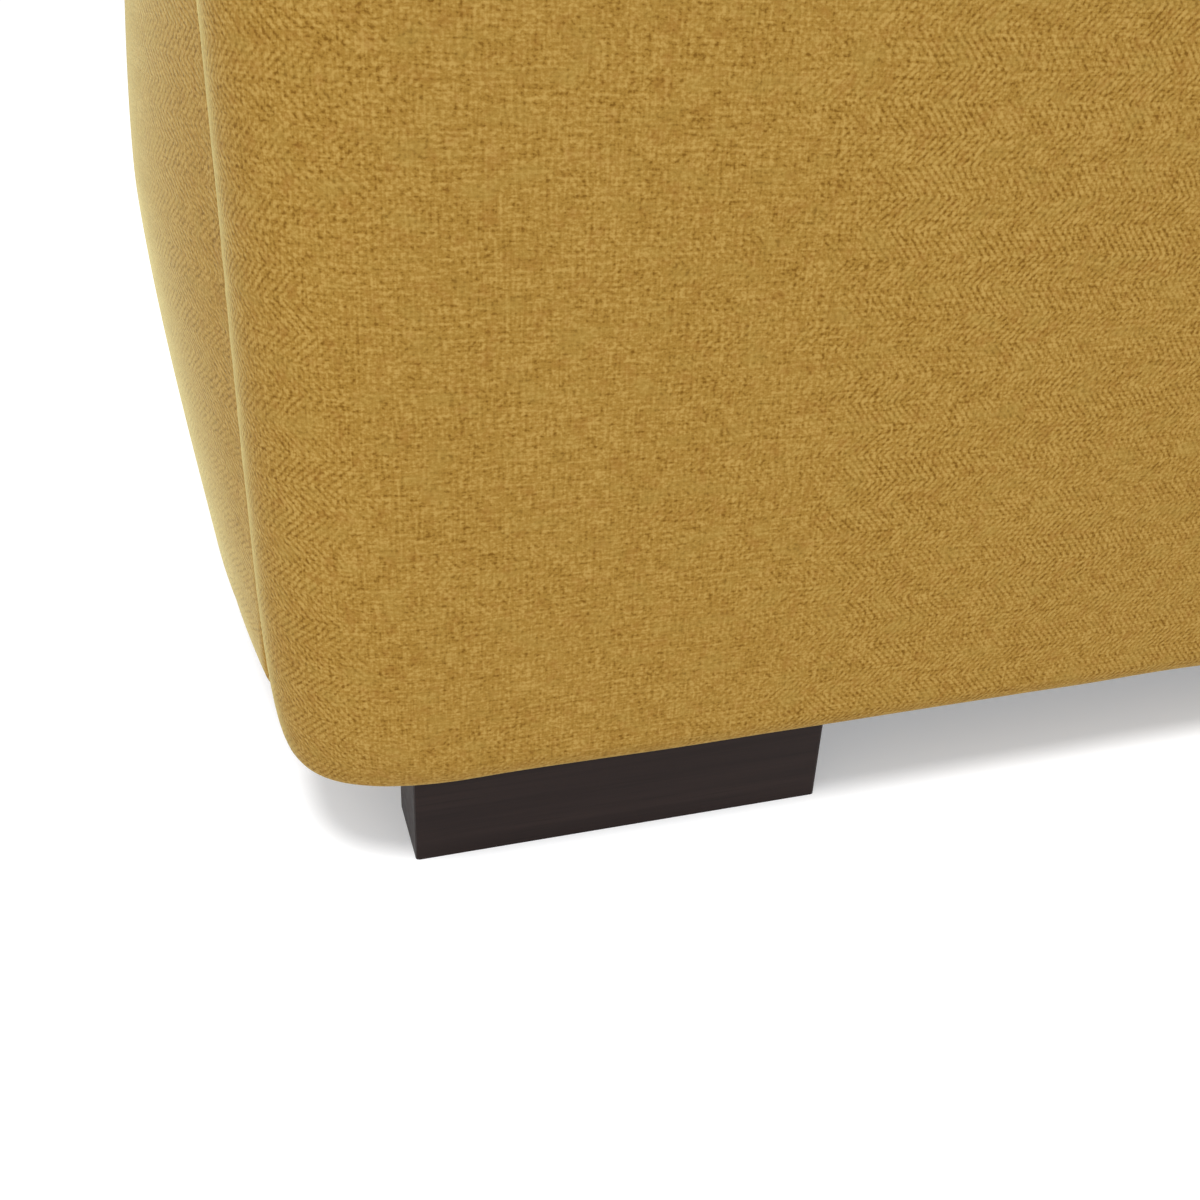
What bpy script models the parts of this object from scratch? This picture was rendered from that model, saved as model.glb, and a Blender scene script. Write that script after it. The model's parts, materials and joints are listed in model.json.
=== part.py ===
"""Storage ottoman: an upholstered box on four block feet, with a hinged cushion lid.

Metres, +Z up. The origin is on the floor under the middle of the object and the front faces -Y.
The lid is hinged along the top of the back, and two pairs of stay arms follow it.
"""
import math

import bmesh
import bpy
from mathutils import Vector

# ---------------------------------------------------------------- driving dimensions
GAP = 0.0003                # air left between pieces that touch

HALF_DEPTH = 0.310          # middle to the face of the front and back covers
HALF_WIDTH = 0.4185         # middle to the outermost point of the corners
CORNER_RADIUS = 0.062       # plan radius of the upholstered corners
SEAM_RADIUS = 0.009         # how tightly a cover turns into the side seam
SEAM_GROOVE = 0.0015        # width left between the covers in the side seam
SEAM_FLOOR = 0.0012         # how much deeper than the covers' edges the groove in the foam goes

SIDE_CROWN = 0.0303         # most that the side panels stand out beyond the corners
SIDE_CROWN_DROP = 0.0164    # how much less they do at the lower edge
SIDE_CROWN_POWER = 1.5      # how they fall away above and below the fullest point
SIDE_CROWN_HEIGHT = 0.2016  # height of the fullest point
SIDE_CROWN_SQUARE = 2.6     # 2 is a parabola in plan, more is squarer
MID_ROW = 0.125             # height of the row of points between the lower edge and the fullest point

COVER = 0.0017              # thickness of the upholstery fabric with its backing
BODY_BOTTOM = 0.049         # lower face of the fabric turned under the box
RIM_TOP = 0.318             # upper face of the fabric over the rim of the box
BOTTOM_ROLL = 0.010         # radius of the lower edge
RIM_ROLL = 0.015            # radius of the upholstered edges either side of the lid's joint
RIM_PADDING = 0.0010        # air between the frame's top edge and the fabric over it

BOARD = 0.016               # thickness of the frame boards
PADDING = 0.020             # front face of the cover to the face of the front board
SIDE_BOARD_OUT = 0.380      # outer face of the side boards
FLOOR_BOARD = 0.012         # thickness of the bottom panel
CORNER_BLOCK = 0.030        # legs of the triangular glue blocks
LINING = 0.0012             # thickness of the storage lining
LID_LINING = 0.0008
DUST_COVER = 0.0006
BLOCK_SHORTFALL = 0.006     # top of the boards to the top of the glue blocks
LINING_SHORTFALL = 0.004    # and to the top of the lining

FOOT_LENGTH = 0.160
FOOT_DEPTH = 0.034
FOOT_INSET = 0.007          # side board's outer face to the end of the foot
FOOT_ROUNDING = 0.0012
FOOT_SCREW_SPREAD = 0.100   # distance between the two screws of a foot
FOOT_SCREW_IN = 0.008       # foot's inner face to its screws
FOOT_SHANK = 0.00225
FOOT_HEAD = 0.0045
FOOT_HEAD_DEPTH = 0.0026
FOOT_SCREW_TIP = 0.016

LID_BOTTOM = 0.3214         # lower face of the fabric turned under the lid
LID_TOP = 0.440             # crown of the cushion
LID_EDGE_TOP = 0.422        # where the cushion's edge roll meets its top
LID_TOP_ROLL = 0.030
LID_CROWN = 0.026           # side crown of the lid
LID_DOME = ((0.78, 0.62), (0.45, 0.92))    # shares of the lid's plan and of its dome's height
LID_CROWN_PARTS = (-0.72, -0.38, 0.0, 0.38, 0.72)    # points along the lid's crowned sides
LID_BOARD_HALF = (0.402, 0.294)
LID_BOARD_RADIUS = 0.045
FLANGE = 0.042              # how far the fabric is turned under

HINGE_X = 0.250             # middle to each hinge
HINGE_LENGTH = 0.070
HINGE_AXIS_Y = 0.305
HINGE_AXIS_Z = 0.3197
LEAF = 0.0012
LEAF_CLEARANCE = 0.0002     # each leaf to the plane of the hinge axis
LEAF_DEPTH = (0.2745, 0.3008)
KNUCKLE_RADIUS = 0.00375
KNUCKLES = 5
KNUCKLE_GAP = 0.0005
PIN_RADIUS = 0.0020
PIN_CLEARANCE = 0.00005
HINGE_SCREW_Y = 0.284
HINGE_SCREW_SPREAD = 0.042
HINGE_SCREW_LENGTH = 0.016
HINGE_HEAD = 0.0030
HINGE_SHANK = 0.0015
HINGE_HEAD_DEPTH = 0.0012

STAY_A = Vector((-0.085, -0.080))    # lid hinge to the box pivot of a stay, as (y, z)
STAY_B = Vector((-0.190, -0.024))    # lid hinge to the lid pivot of a stay
STAY_BAR = 0.002                     # thickness of the stays' arms and brackets
STAY_WIDTH = 0.014
STAY_PIVOT = 0.003                   # radius of the pivots on the brackets
ELBOW_PIVOT = 0.0025
STAY_LAYER_GAP = 0.0005              # air between the bars of a stay
RIVET_HEAD = 0.0018                  # how far a rivet's head stands out round its shank
PLATE_REACH = 0.022                  # half the width of the plate under the lid, and how far in it stands
PIVOT_CLEARANCE = 0.00025

FABRIC = (0.407, 0.231, 0.050)
FOAM = (0.72, 0.66, 0.46)
DARK_WOOD = (0.034, 0.023, 0.020)
CHIPBOARD = (0.50, 0.36, 0.22)
PLYWOOD = (0.62, 0.46, 0.28)
PINE = (0.66, 0.47, 0.26)
LINING_BLACK = (0.020, 0.020, 0.022)
ZINC = (0.62, 0.62, 0.60)

# heights and faces that follow from the sizes above
BOARD_BOTTOM = BODY_BOTTOM + COVER + GAP
BOARD_TOP = RIM_TOP - COVER - RIM_PADDING
FLOOR_TOP = BOARD_BOTTOM + FLOOR_BOARD
FOOT_TOP = BODY_BOTTOM - GAP
FRONT_BOARD_OUT = HALF_DEPTH - PADDING
INNER_X = SIDE_BOARD_OUT - BOARD
INNER_Y = FRONT_BOARD_OUT - BOARD
CORNER_X = HALF_WIDTH - CORNER_RADIUS
CORNER_Y = HALF_DEPTH - CORNER_RADIUS
SEAM_X = HALF_WIDTH - SEAM_RADIUS
SIDE_Y = CORNER_Y - 2 * SEAM_RADIUS - SEAM_GROOVE
FOOT_MIDDLE_X = SIDE_BOARD_OUT - FOOT_INSET - FOOT_LENGTH / 2
FOOT_SCREW_Y = FRONT_BOARD_OUT - FOOT_DEPTH + FOOT_SCREW_IN
LID_BOARD_BOTTOM = LID_BOTTOM + COVER + GAP
LID_BOARD_TOP = LID_BOARD_BOTTOM + BOARD
STAY_INNER = INNER_X - LINING - 2 * GAP


# ---------------------------------------------------------------- scene and helpers
def clear_scene():
    for obj in list(bpy.data.objects):
        bpy.data.objects.remove(obj, do_unlink=True)


def make_material(name, color, roughness, metallic=0.0):
    material = bpy.data.materials.new(name)
    material.use_nodes = True
    shader = material.node_tree.nodes["Principled BSDF"]
    shader.inputs["Base Color"].default_value = (*color, 1.0)
    shader.inputs["Roughness"].default_value = roughness
    shader.inputs["Metallic"].default_value = metallic
    return material


def make_object(name, verts, faces, material=None):
    mesh = bpy.data.meshes.new(name)
    mesh.from_pydata([tuple(v) for v in verts], [], faces)
    mesh.update()
    obj = bpy.data.objects.new(name, mesh)
    bpy.context.scene.collection.objects.link(obj)
    if material:
        obj.data.materials.append(material)
    return obj


def make_cutter(obj):
    """Keep a shape out of the object: it only cuts or joins its neighbours."""
    obj.hide_render = True
    obj.display_type = 'WIRE'
    return obj


def boolean(obj, tool, operation):
    modifier = obj.modifiers.new(operation.lower(), 'BOOLEAN')
    modifier.operation = operation
    modifier.solver = 'EXACT'
    modifier.object = tool
    make_cutter(tool)


def shade_round(obj, degrees=35):
    obj.data.shade_smooth()
    obj.data.set_sharp_from_angle(angle=math.radians(degrees))


def box(name, low, high, material=None):
    verts = [(x, y, z) for z in (low[2], high[2]) for y in (low[1], high[1]) for x in (low[0], high[0])]
    faces = [(0, 2, 3, 1), (4, 5, 7, 6), (0, 1, 5, 4), (1, 3, 7, 5), (3, 2, 6, 7), (2, 0, 4, 6)]
    return make_object(name, verts, faces, material)


def loft(name, rings, material=None):
    """A closed solid through rings of equal length, each counter-clockwise seen from the last ring."""
    count = len(rings[0])
    verts = [point for ring in rings for point in ring]
    faces = [tuple(reversed(range(count)))]
    for level in range(len(rings) - 1):
        for i in range(count):
            j = (i + 1) % count
            low = level * count
            high = low + count
            faces.append((low + i, low + j, high + j, high + i))
    top = (len(rings) - 1) * count
    faces.append(tuple(range(top, top + count)))
    return make_object(name, verts, faces, material)


def prism(name, outline, low, high, material=None):
    """An upright solid on a counter-clockwise plan outline."""
    rings = [[(x, y, z) for x, y in outline] for z in (low, high)]
    return loft(name, rings, material)


def side_prism(name, outline, low, high, material=None):
    """A solid between two x positions on an outline of (y, z) points, counter-clockwise seen from +X."""
    rings = [[(x, y, z) for y, z in outline] for x in (low, high)]
    return loft(name, rings, material)


def turned(name, profile, centre, axis, segments, material=None):
    """A solid of revolution. The profile is (radius, distance) pairs along the axis, rising."""
    rotation = Vector((0, 0, 1)).rotation_difference(Vector(axis)).to_matrix()
    rings = []
    for radius, distance in profile:
        ring = []
        for i in range(segments):
            angle = 2 * math.pi * (i + 0.5) / segments
            local = Vector((radius * math.cos(angle), radius * math.sin(angle), distance))
            ring.append(Vector(centre) + rotation @ local)
        rings.append(ring)
    obj = loft(name, rings, material)
    shade_round(obj)
    return obj


def fabric_sheet(name, rows, material):
    """A sheet of fabric through rows of points, outer face along the rows' left-hand side, upwards."""
    count = len(rows[0])
    verts = [point for row in rows for point in row]
    faces = []
    for level in range(len(rows) - 1):
        for i in range(count - 1):
            low = level * count + i
            faces.append((low, low + 1, low + count + 1, low + count))
    obj = make_object(name, verts, faces, material)
    thicken(obj)
    return obj


def thicken(obj):
    """Give a cover its thickness, inwards from its outer face."""
    solidify = obj.modifiers.new("thickness", 'SOLIDIFY')
    solidify.thickness = COVER
    solidify.offset = -1.0
    solidify.use_even_offset = True
    solidify.use_quality_normals = True
    obj.data.shade_smooth()


def spread(first, last, steps):
    return [first + (last - first) * i / steps for i in range(steps + 1)]


def arc_point(centre, radius, degrees):
    angle = math.radians(degrees)
    return (centre[0] + radius * math.cos(angle), centre[1] + radius * math.sin(angle))


def mirrored_x(points):
    return [(-x, y) for x, y in reversed(points)]


def mirrored_y(points):
    return [(x, -y) for x, y in reversed(points)]


# ---------------------------------------------------------------- plan outlines of the upholstery
def side_crown(z):
    """How far the side panels stand out beyond the corners at mid depth."""
    below = abs(z - SIDE_CROWN_HEIGHT) / (SIDE_CROWN_HEIGHT - BODY_BOTTOM)
    return SIDE_CROWN - SIDE_CROWN_DROP * below ** SIDE_CROWN_POWER


def crown_x(y, crown, half_length, offset):
    return HALF_WIDTH - offset + crown * (1 - abs(y / half_length) ** SIDE_CROWN_SQUARE)


def corner_steps():
    return spread(180, 270, 4)


def corner_cut(x, radius):
    """Where the faceted right front corner, of one plan radius, crosses an x position."""
    x1, y1 = arc_point((CORNER_X, -CORNER_Y), radius, 292.5)
    x2, y2 = arc_point((CORNER_X, -CORNER_Y), radius, 315)
    return (x, y1 + (y2 - y1) * (x - x1) / (x2 - x1))


def front_outer(offset, inset):
    """Front panel in plan, left seam to right seam, moved in by a thickness and by an edge roll."""
    half = []
    for degrees in (90, 135):
        x, y = arc_point((-SEAM_X, -CORNER_Y), SEAM_RADIUS - offset, degrees)
        half.append((x + inset, y))
    for degrees in corner_steps():
        half.append(arc_point((-CORNER_X, -CORNER_Y), CORNER_RADIUS - offset - inset, degrees))
    half.append((-CORNER_X / 2, -HALF_DEPTH + offset + inset))
    middle = (0.0, -HALF_DEPTH + offset + inset)
    return half + [middle] + mirrored_x(half)


def front_inner(inner_x, inner_y):
    """The turned-in edge of the front panel: along the side, round the corner and along the front."""
    half = []
    for degrees in (90, 135):
        y = arc_point((0, -CORNER_Y), SEAM_RADIUS, degrees)[1]
        half.append((-inner_x, y))
    for degrees in corner_steps():
        part = (degrees - 180) / 90
        if part <= 0.5:
            half.append((-inner_x, -CORNER_Y + (CORNER_Y - inner_y) * 2 * part))
        else:
            half.append((-inner_x + (inner_x - CORNER_X) * (2 * part - 1), -inner_y))
    half.append((-CORNER_X / 2, -inner_y))
    return half + [(0.0, -inner_y)] + mirrored_x(half)


def right_outer(z, offset, inset):
    """Right side panel in plan, front seam to back seam."""
    half = []
    for degrees in (270, 306, 342):
        x, y = arc_point((SEAM_X, -SIDE_Y), SEAM_RADIUS - offset, degrees)
        half.append((x - inset, y))
    for y in spread(-SIDE_Y, 0.0, 4)[1:-1]:
        half.append((crown_x(y, side_crown(z), SIDE_Y, offset) - inset, y))
    middle = (crown_x(0.0, side_crown(z), SIDE_Y, offset) - inset, 0.0)
    return half + [middle] + mirrored_y(half)


def right_inner(inner_x):
    return [(inner_x, y) for x, y in right_outer(SIDE_CROWN_HEIGHT, 0.0, 0.0)]


def edge_rows(offset=0.0, steepest=90):
    """Heights of a panel, bottom to top, with the inset of its rolled edges up to an angle."""
    angles = [math.radians(degrees) for degrees in (90, 60, 30, 0) if degrees <= steepest]
    low_roll = BOTTOM_ROLL - offset
    high_roll = RIM_ROLL - offset
    low = BODY_BOTTOM + BOTTOM_ROLL
    high = RIM_TOP - RIM_ROLL
    rows = [(low - low_roll * math.sin(a), low_roll * (1 - math.cos(a))) for a in angles]
    rows += [(MID_ROW, 0.0), (SIDE_CROWN_HEIGHT, 0.0)]
    rows += [(high + high_roll * math.sin(a), high_roll * (1 - math.cos(a))) for a in reversed(angles)]
    return rows


def at_height(points, z):
    return [(x, y, z) for x, y in points]


# ---------------------------------------------------------------- covers and pads of the box
def make_front_cover(name, material, back=False):
    under = front_inner(HALF_WIDTH - FLANGE, HALF_DEPTH - FLANGE)
    over = front_inner(INNER_X, INNER_Y)
    rows = [at_height(under, BODY_BOTTOM)]
    rows += [at_height(front_outer(0.0, inset), z) for z, inset in edge_rows()]
    rows.append(at_height(over, RIM_TOP))
    if back:
        rows = [[(-x, -y, z) for x, y, z in row] for row in rows]
    return fabric_sheet(name, rows, material)


def make_side_cover(name, material, left=False):
    rows = [at_height(right_inner(HALF_WIDTH - FLANGE), BODY_BOTTOM)]
    rows += [at_height(right_outer(z, 0.0, inset), z) for z, inset in edge_rows()]
    rows.append(at_height(right_inner(INNER_X), RIM_TOP))
    if left:
        rows = [[(-x, -y, z) for x, y, z in row] for row in rows]
    return fabric_sheet(name, rows, material)


def pad_rows():
    """Heights and insets of the pads, just inside the covers and short of their turned-in edges."""
    return edge_rows(COVER + GAP, 60)


def make_front_pad(name, material, back=False):
    """Foam on the front board, between the side pads."""
    edge_x = SIDE_BOARD_OUT - GAP
    rings = []
    for z, inset in pad_rows():
        radius = CORNER_RADIUS - COVER - GAP - inset
        half = [arc_point((CORNER_X, -CORNER_Y), radius, degrees) for degrees in (270, 292.5)]
        half += [corner_cut(edge_x, radius), (edge_x, -FRONT_BOARD_OUT - GAP)]
        ring = at_height(half + mirrored_x(half), z)
        if back:
            ring = [(-x, -y, z) for x, y, z in ring]
        rings.append(ring)
    return loft(name, rings, material)


def make_side_pad(name, material, left=False):
    """Foam on a side board with the rounded corners and the grooves that the seams sink into."""
    offset = COVER + GAP
    inner_x = SIDE_BOARD_OUT + GAP
    groove_x = SEAM_X - SEAM_FLOOR
    rings = []
    for z, inset in pad_rows():
        radius = CORNER_RADIUS - offset - inset
        half = [corner_cut(inner_x, radius)]
        for degrees in (315, 337.5, 360):
            half.append(arc_point((CORNER_X, -CORNER_Y), radius, degrees))
        x, y = arc_point((SEAM_X, -CORNER_Y), SEAM_RADIUS - offset, 45)
        half.append((x - inset, y))
        half.append((groove_x - inset, -CORNER_Y + SEAM_RADIUS - offset))
        half.append((groove_x - inset, -SIDE_Y - SEAM_RADIUS + offset))
        side = right_outer(z, offset, inset)
        half += side[1:len(side) // 2]
        middle = [side[len(side) // 2]]
        ring = at_height(half + middle + mirrored_y(half), z)
        if left:
            ring = [(-x, -y, z) for x, y, z in ring]
        rings.append(ring)
    return loft(name, rings, material)


def make_upholstery(fabric, foam):
    make_front_cover("front_cover", fabric)
    make_front_cover("back_cover", fabric, back=True)
    make_side_cover("right_cover", fabric)
    make_side_cover("left_cover", fabric, left=True)
    make_front_pad("front_pad", foam)
    make_front_pad("back_pad", foam, back=True)
    make_side_pad("right_pad", foam)
    make_side_pad("left_pad", foam, left=True)


# ---------------------------------------------------------------- wooden box
def make_frame(chipboard, plywood, pine):
    low, high = BOARD_BOTTOM, BOARD_TOP
    out_x, out_y = SIDE_BOARD_OUT, FRONT_BOARD_OUT
    box("front_board", (-out_x, -out_y, low), (out_x, -INNER_Y, high), chipboard)
    box("back_board", (-out_x, INNER_Y, low), (out_x, out_y, high), chipboard)
    end_y = INNER_Y - GAP
    box("left_board", (-out_x, -end_y, low), (-INNER_X, end_y, high), chipboard)
    box("right_board", (INNER_X, -end_y, low), (out_x, end_y, high), chipboard)
    end_x = INNER_X - GAP
    box("bottom_panel", (-end_x, -end_y, low), (end_x, end_y, FLOOR_TOP), plywood)
    for row, sy in (("front", -1), ("back", 1)):
        for side, sx in (("left", -1), ("right", 1)):
            make_corner_block("corner_block_%s_%s" % (row, side), sx, sy, pine)


def make_corner_block(name, sx, sy, material):
    x = INNER_X - 2 * GAP
    y = INNER_Y - 2 * GAP
    outline = [(sx * x, sy * y), (sx * (x - CORNER_BLOCK), sy * y), (sx * x, sy * (y - CORNER_BLOCK))]
    if sx * sy < 0:
        outline.reverse()
    prism(name, outline, FLOOR_TOP + GAP, BOARD_TOP - BLOCK_SHORTFALL, material)


def chamfered(half_x, half_y, leg):
    """A rectangle with its corners cut off, counter-clockwise."""
    return [
        (-half_x + leg, -half_y), (half_x - leg, -half_y), (half_x, -half_y + leg), (half_x, half_y - leg),
        (half_x - leg, half_y), (-half_x + leg, half_y), (-half_x, half_y - leg), (-half_x, -half_y + leg),
    ]


def make_storage_lining(material):
    """A thin open tub that follows the boards and the corner blocks."""
    half_x = INNER_X - 2 * GAP
    half_y = INNER_Y - 2 * GAP
    leg = CORNER_BLOCK + 2 * GAP
    outer = chamfered(half_x, half_y, leg)
    inner = chamfered(half_x - LINING, half_y - LINING, leg - LINING * (2 - math.sqrt(2)))
    low = FLOOR_TOP + GAP
    high = BOARD_TOP - LINING_SHORTFALL
    rings = [at_height(outer, low), at_height(outer, high), at_height(inner, high)]
    rings.append(at_height(inner, low + LINING))
    return loft("storage_lining", rings, material)


def make_dust_cover(material):
    """Thin cloth under the bottom panel, inside the turned-under covers and clear of the foot screws."""
    half_x = HALF_WIDTH - FLANGE - 2 * GAP
    half_y = FOOT_SCREW_Y - FOOT_SHANK - 3 * GAP
    top = BOARD_BOTTOM - GAP
    box("dust_cover", (-half_x, -half_y, top - DUST_COVER), (half_x, half_y, top), material)


# ---------------------------------------------------------------- feet and their screws
def foot_places():
    for row, sy in (("front", -1), ("back", 1)):
        for side, sx in (("left", -1), ("right", 1)):
            yield "%s_%s" % (row, side), sx, sy


def foot_screw_places():
    for place, sx, sy in foot_places():
        for number, shift in ((1, -0.5), (2, 0.5)):
            x = sx * FOOT_MIDDLE_X + shift * FOOT_SCREW_SPREAD
            yield "%s_%d" % (place, number), (x, sy * FOOT_SCREW_Y)


def countersunk(name, place, top, tip, head, shank, head_depth, direction, grow, material=None):
    """A countersunk screw, or with grow the slightly larger hole for it. direction is -1 downwards."""
    length = abs(top - tip)
    profile = [
        (shank * 0.25 + grow, 0.0 - grow),
        (shank + grow, 0.003),
        (shank + grow, length - head_depth),
        (head + grow, length),
    ]
    if grow:
        profile.append((head + grow, length + 3 * GAP))
    axis = (0, 0, -direction)
    return turned(name, profile, (place[0], place[1], tip), axis, 8, material)


def make_feet(wood, zinc):
    clearances = []
    for name, place in foot_screw_places():
        top = FLOOR_TOP - GAP
        countersunk("foot_screw_" + name, place, top, FOOT_SCREW_TIP, FOOT_HEAD, FOOT_SHANK,
                    FOOT_HEAD_DEPTH, -1, 0.0, zinc)
        clearances.append(countersunk("clearance_foot_screw_" + name, place, top, FOOT_SCREW_TIP,
                                      FOOT_HEAD, FOOT_SHANK, FOOT_HEAD_DEPTH, -1, GAP))
    for place, sx, sy in foot_places():
        x = sx * FOOT_MIDDLE_X
        y = sy * (FRONT_BOARD_OUT - FOOT_DEPTH / 2)
        low = (x - FOOT_LENGTH / 2, y - FOOT_DEPTH / 2, 0.0)
        high = (x + FOOT_LENGTH / 2, y + FOOT_DEPTH / 2, FOOT_TOP)
        foot = box("foot_" + place, low, high, wood)
        round_upright_edges(foot)
        for cutter in clearances:
            if cutter.name.startswith("clearance_foot_screw_" + place):
                boolean(foot, cutter, 'DIFFERENCE')
    for cutter in clearances:
        boolean(bpy.data.objects["bottom_panel"], cutter, 'DIFFERENCE')


def round_upright_edges(obj):
    bm = bmesh.new()
    bm.from_mesh(obj.data)
    edges = [e for e in bm.edges if abs(e.verts[0].co.z - e.verts[1].co.z) > FOOT_TOP / 2]
    bmesh.ops.bevel(bm, geom=edges, offset=FOOT_ROUNDING, segments=2, profile=0.5, affect='EDGES')
    bm.to_mesh(obj.data)
    bm.free()


# ---------------------------------------------------------------- lid
def lid_ring(offset, crown, z, scale=1.0):
    """Outline of the lid at one height, counter-clockwise from the left side."""
    ring = []
    radius = CORNER_RADIUS - offset
    for turn in range(4):
        sx = -1 if turn in (0, 3) else 1
        sy = -1 if turn in (0, 1) else 1
        for degrees in spread(180 + 90 * turn, 270 + 90 * turn, 4):
            ring.append(arc_point((sx * CORNER_X, sy * CORNER_Y), radius, degrees))
        if turn in (1, 3):
            for part in LID_CROWN_PARTS:
                y = part * CORNER_Y
                x = crown_x(y, crown, CORNER_Y, offset)
                ring.append((x, y) if turn == 1 else (-x, -y))
    return [(x * scale, y * scale, z) for x, y in ring]


def lid_side_rows(offset):
    """(inset, crown, height) of the lid's outer face from the lower edge to the top roll."""
    rows = []
    for degrees in (90, 45, 0):
        angle = math.radians(degrees)
        z = LID_BOTTOM + RIM_ROLL * (1 - math.sin(angle))
        rows.append((RIM_ROLL * (1 - math.cos(angle)), LID_CROWN, z))
    for degrees in (0, 30, 60, 90):
        angle = math.radians(degrees)
        z = LID_EDGE_TOP - LID_TOP_ROLL * (1 - math.sin(angle))
        rows.append((LID_TOP_ROLL * (1 - math.cos(angle)), LID_CROWN, z - offset * math.sin(angle)))
    return rows


def make_lid_cover(material):
    rings = [lid_ring(FLANGE, 0.0, LID_BOTTOM)]
    rings += [lid_ring(inset, crown, z) for inset, crown, z in lid_side_rows(0.0)]
    for scale, rise in LID_DOME:
        height = LID_EDGE_TOP + (LID_TOP - LID_EDGE_TOP) * rise
        rings.append(lid_ring(LID_TOP_ROLL, LID_CROWN, height, scale))
    count = len(rings[0])
    verts = [point for ring in rings for point in ring]
    faces = []
    for level in range(len(rings) - 1):
        for i in range(count):
            j = (i + 1) % count
            low = level * count
            faces.append((low + i, low + j, low + count + j, low + count + i))
    top = (len(rings) - 1) * count
    verts.append((0.0, 0.0, LID_TOP))
    for i in range(count):
        faces.append((top + i, top + (i + 1) % count, len(verts) - 1))
    obj = make_object("lid_cover", verts, faces, material)
    thicken(obj)
    return obj


def make_lid_foam(material):
    offset = COVER + 2 * GAP
    rings = []
    for inset, crown, z in lid_side_rows(offset)[2:]:
        height = max(z, LID_BOARD_TOP + GAP)
        rings.append(lid_ring(inset + offset, crown, height))
    for scale, rise in LID_DOME:
        height = LID_EDGE_TOP + (LID_TOP - LID_EDGE_TOP) * rise - offset
        rings.append(lid_ring(LID_TOP_ROLL + offset, LID_CROWN, height, scale))
    rings.append(lid_ring(LID_TOP_ROLL + offset, LID_CROWN, LID_TOP - offset - GAP, 0.08))
    return loft("lid_foam", rings, material)


def make_lid(fabric, foam, plywood, lining):
    half_x, half_y = LID_BOARD_HALF
    radius = LID_BOARD_RADIUS
    outline = []
    for turn in range(4):
        sx = -1 if turn in (0, 3) else 1
        sy = -1 if turn in (0, 1) else 1
        for degrees in spread(180 + 90 * turn, 270 + 90 * turn, 4):
            outline.append(arc_point((sx * (half_x - radius), sy * (half_y - radius)), radius, degrees))
    prism("lid_board", outline, LID_BOARD_BOTTOM, LID_BOARD_TOP, plywood)
    make_lid_foam(foam)
    make_lid_cover(fabric)
    half_x = HALF_WIDTH - FLANGE - 2 * GAP
    half_y = HALF_DEPTH - FLANGE - 2 * GAP
    top = LID_BOARD_BOTTOM - GAP
    outline = chamfered(half_x, half_y, CORNER_RADIUS - FLANGE)
    prism("lid_lining", outline, top - LID_LINING, top, lining)


# ---------------------------------------------------------------- hinges
def make_hinge_leaf(name, x, lid, material):
    """A flat leaf with its share of the knuckles, bored for the pin."""
    side = 1 if lid else -1
    near = HINGE_AXIS_Z + side * LEAF_CLEARANCE
    far = near + side * LEAF
    low_z, high_z = min(near, far), max(near, far)
    half = HINGE_LENGTH / 2
    leaf = box(name, (x - half, LEAF_DEPTH[0], low_z), (x + half, LEAF_DEPTH[1], high_z), material)
    pitch = HINGE_LENGTH / KNUCKLES
    for index in range(KNUCKLES):
        if (index % 2 == 1) != lid:
            continue
        start = x - half + index * pitch + KNUCKLE_GAP / 2
        length = pitch - KNUCKLE_GAP
        knuckle = turned("%s_knuckle_%d" % (name, index), [(KNUCKLE_RADIUS, 0.0), (KNUCKLE_RADIUS, length)],
                         (start, HINGE_AXIS_Y, HINGE_AXIS_Z), (1, 0, 0), 16)
        tab = box("%s_tab_%d" % (name, index), (start + 0.0004, LEAF_DEPTH[1] - 0.004, low_z + 0.0001),
                  (start + length - 0.0004, HINGE_AXIS_Y - PIN_RADIUS - 0.0007, high_z - 0.0001))
        boolean(leaf, tab, 'UNION')
        boolean(leaf, knuckle, 'UNION')
    bore_radius = PIN_RADIUS + PIN_CLEARANCE
    bore = turned(name + "_bore", [(bore_radius, 0.0), (bore_radius, HINGE_LENGTH + 0.01)],
                  (x - half - 0.005, HINGE_AXIS_Y, HINGE_AXIS_Z), (1, 0, 0), 16)
    boolean(leaf, bore, 'DIFFERENCE')
    return leaf


def make_hinge(side, x, zinc):
    """Two leaves, a pin, and two screws in each leaf, with the holes that they need."""
    half = HINGE_LENGTH / 2
    turned("hinge_pin_" + side, [(PIN_RADIUS, 0.0), (PIN_RADIUS, HINGE_LENGTH)],
           (x - half, HINGE_AXIS_Y, HINGE_AXIS_Z), (1, 0, 0), 16, zinc)
    for lid, owner, board, cover in ((False, "box", "back_board", "back_cover"),
                                     (True, "lid", "lid_board", "lid_cover")):
        leaf = make_hinge_leaf("hinge_leaf_%s_%s" % (owner, side), x, lid, zinc)
        direction = 1 if lid else -1
        top = HINGE_AXIS_Z + direction * LEAF_CLEARANCE
        tip = top + direction * HINGE_SCREW_LENGTH
        for number, shift in ((1, -0.5), (2, 0.5)):
            place = (x + shift * HINGE_SCREW_SPREAD, HINGE_SCREW_Y)
            name = "hinge_screw_%s_%s_%d" % (owner, side, number)
            countersunk(name, place, top, tip, HINGE_HEAD, HINGE_SHANK, HINGE_HEAD_DEPTH,
                        direction, 0.0, zinc)
            clearance = countersunk("clearance_" + name, place, top, tip, HINGE_HEAD, HINGE_SHANK,
                                    HINGE_HEAD_DEPTH, direction, GAP)
            for target in (leaf, bpy.data.objects[board], bpy.data.objects[cover]):
                boolean(target, clearance, 'DIFFERENCE')


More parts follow.
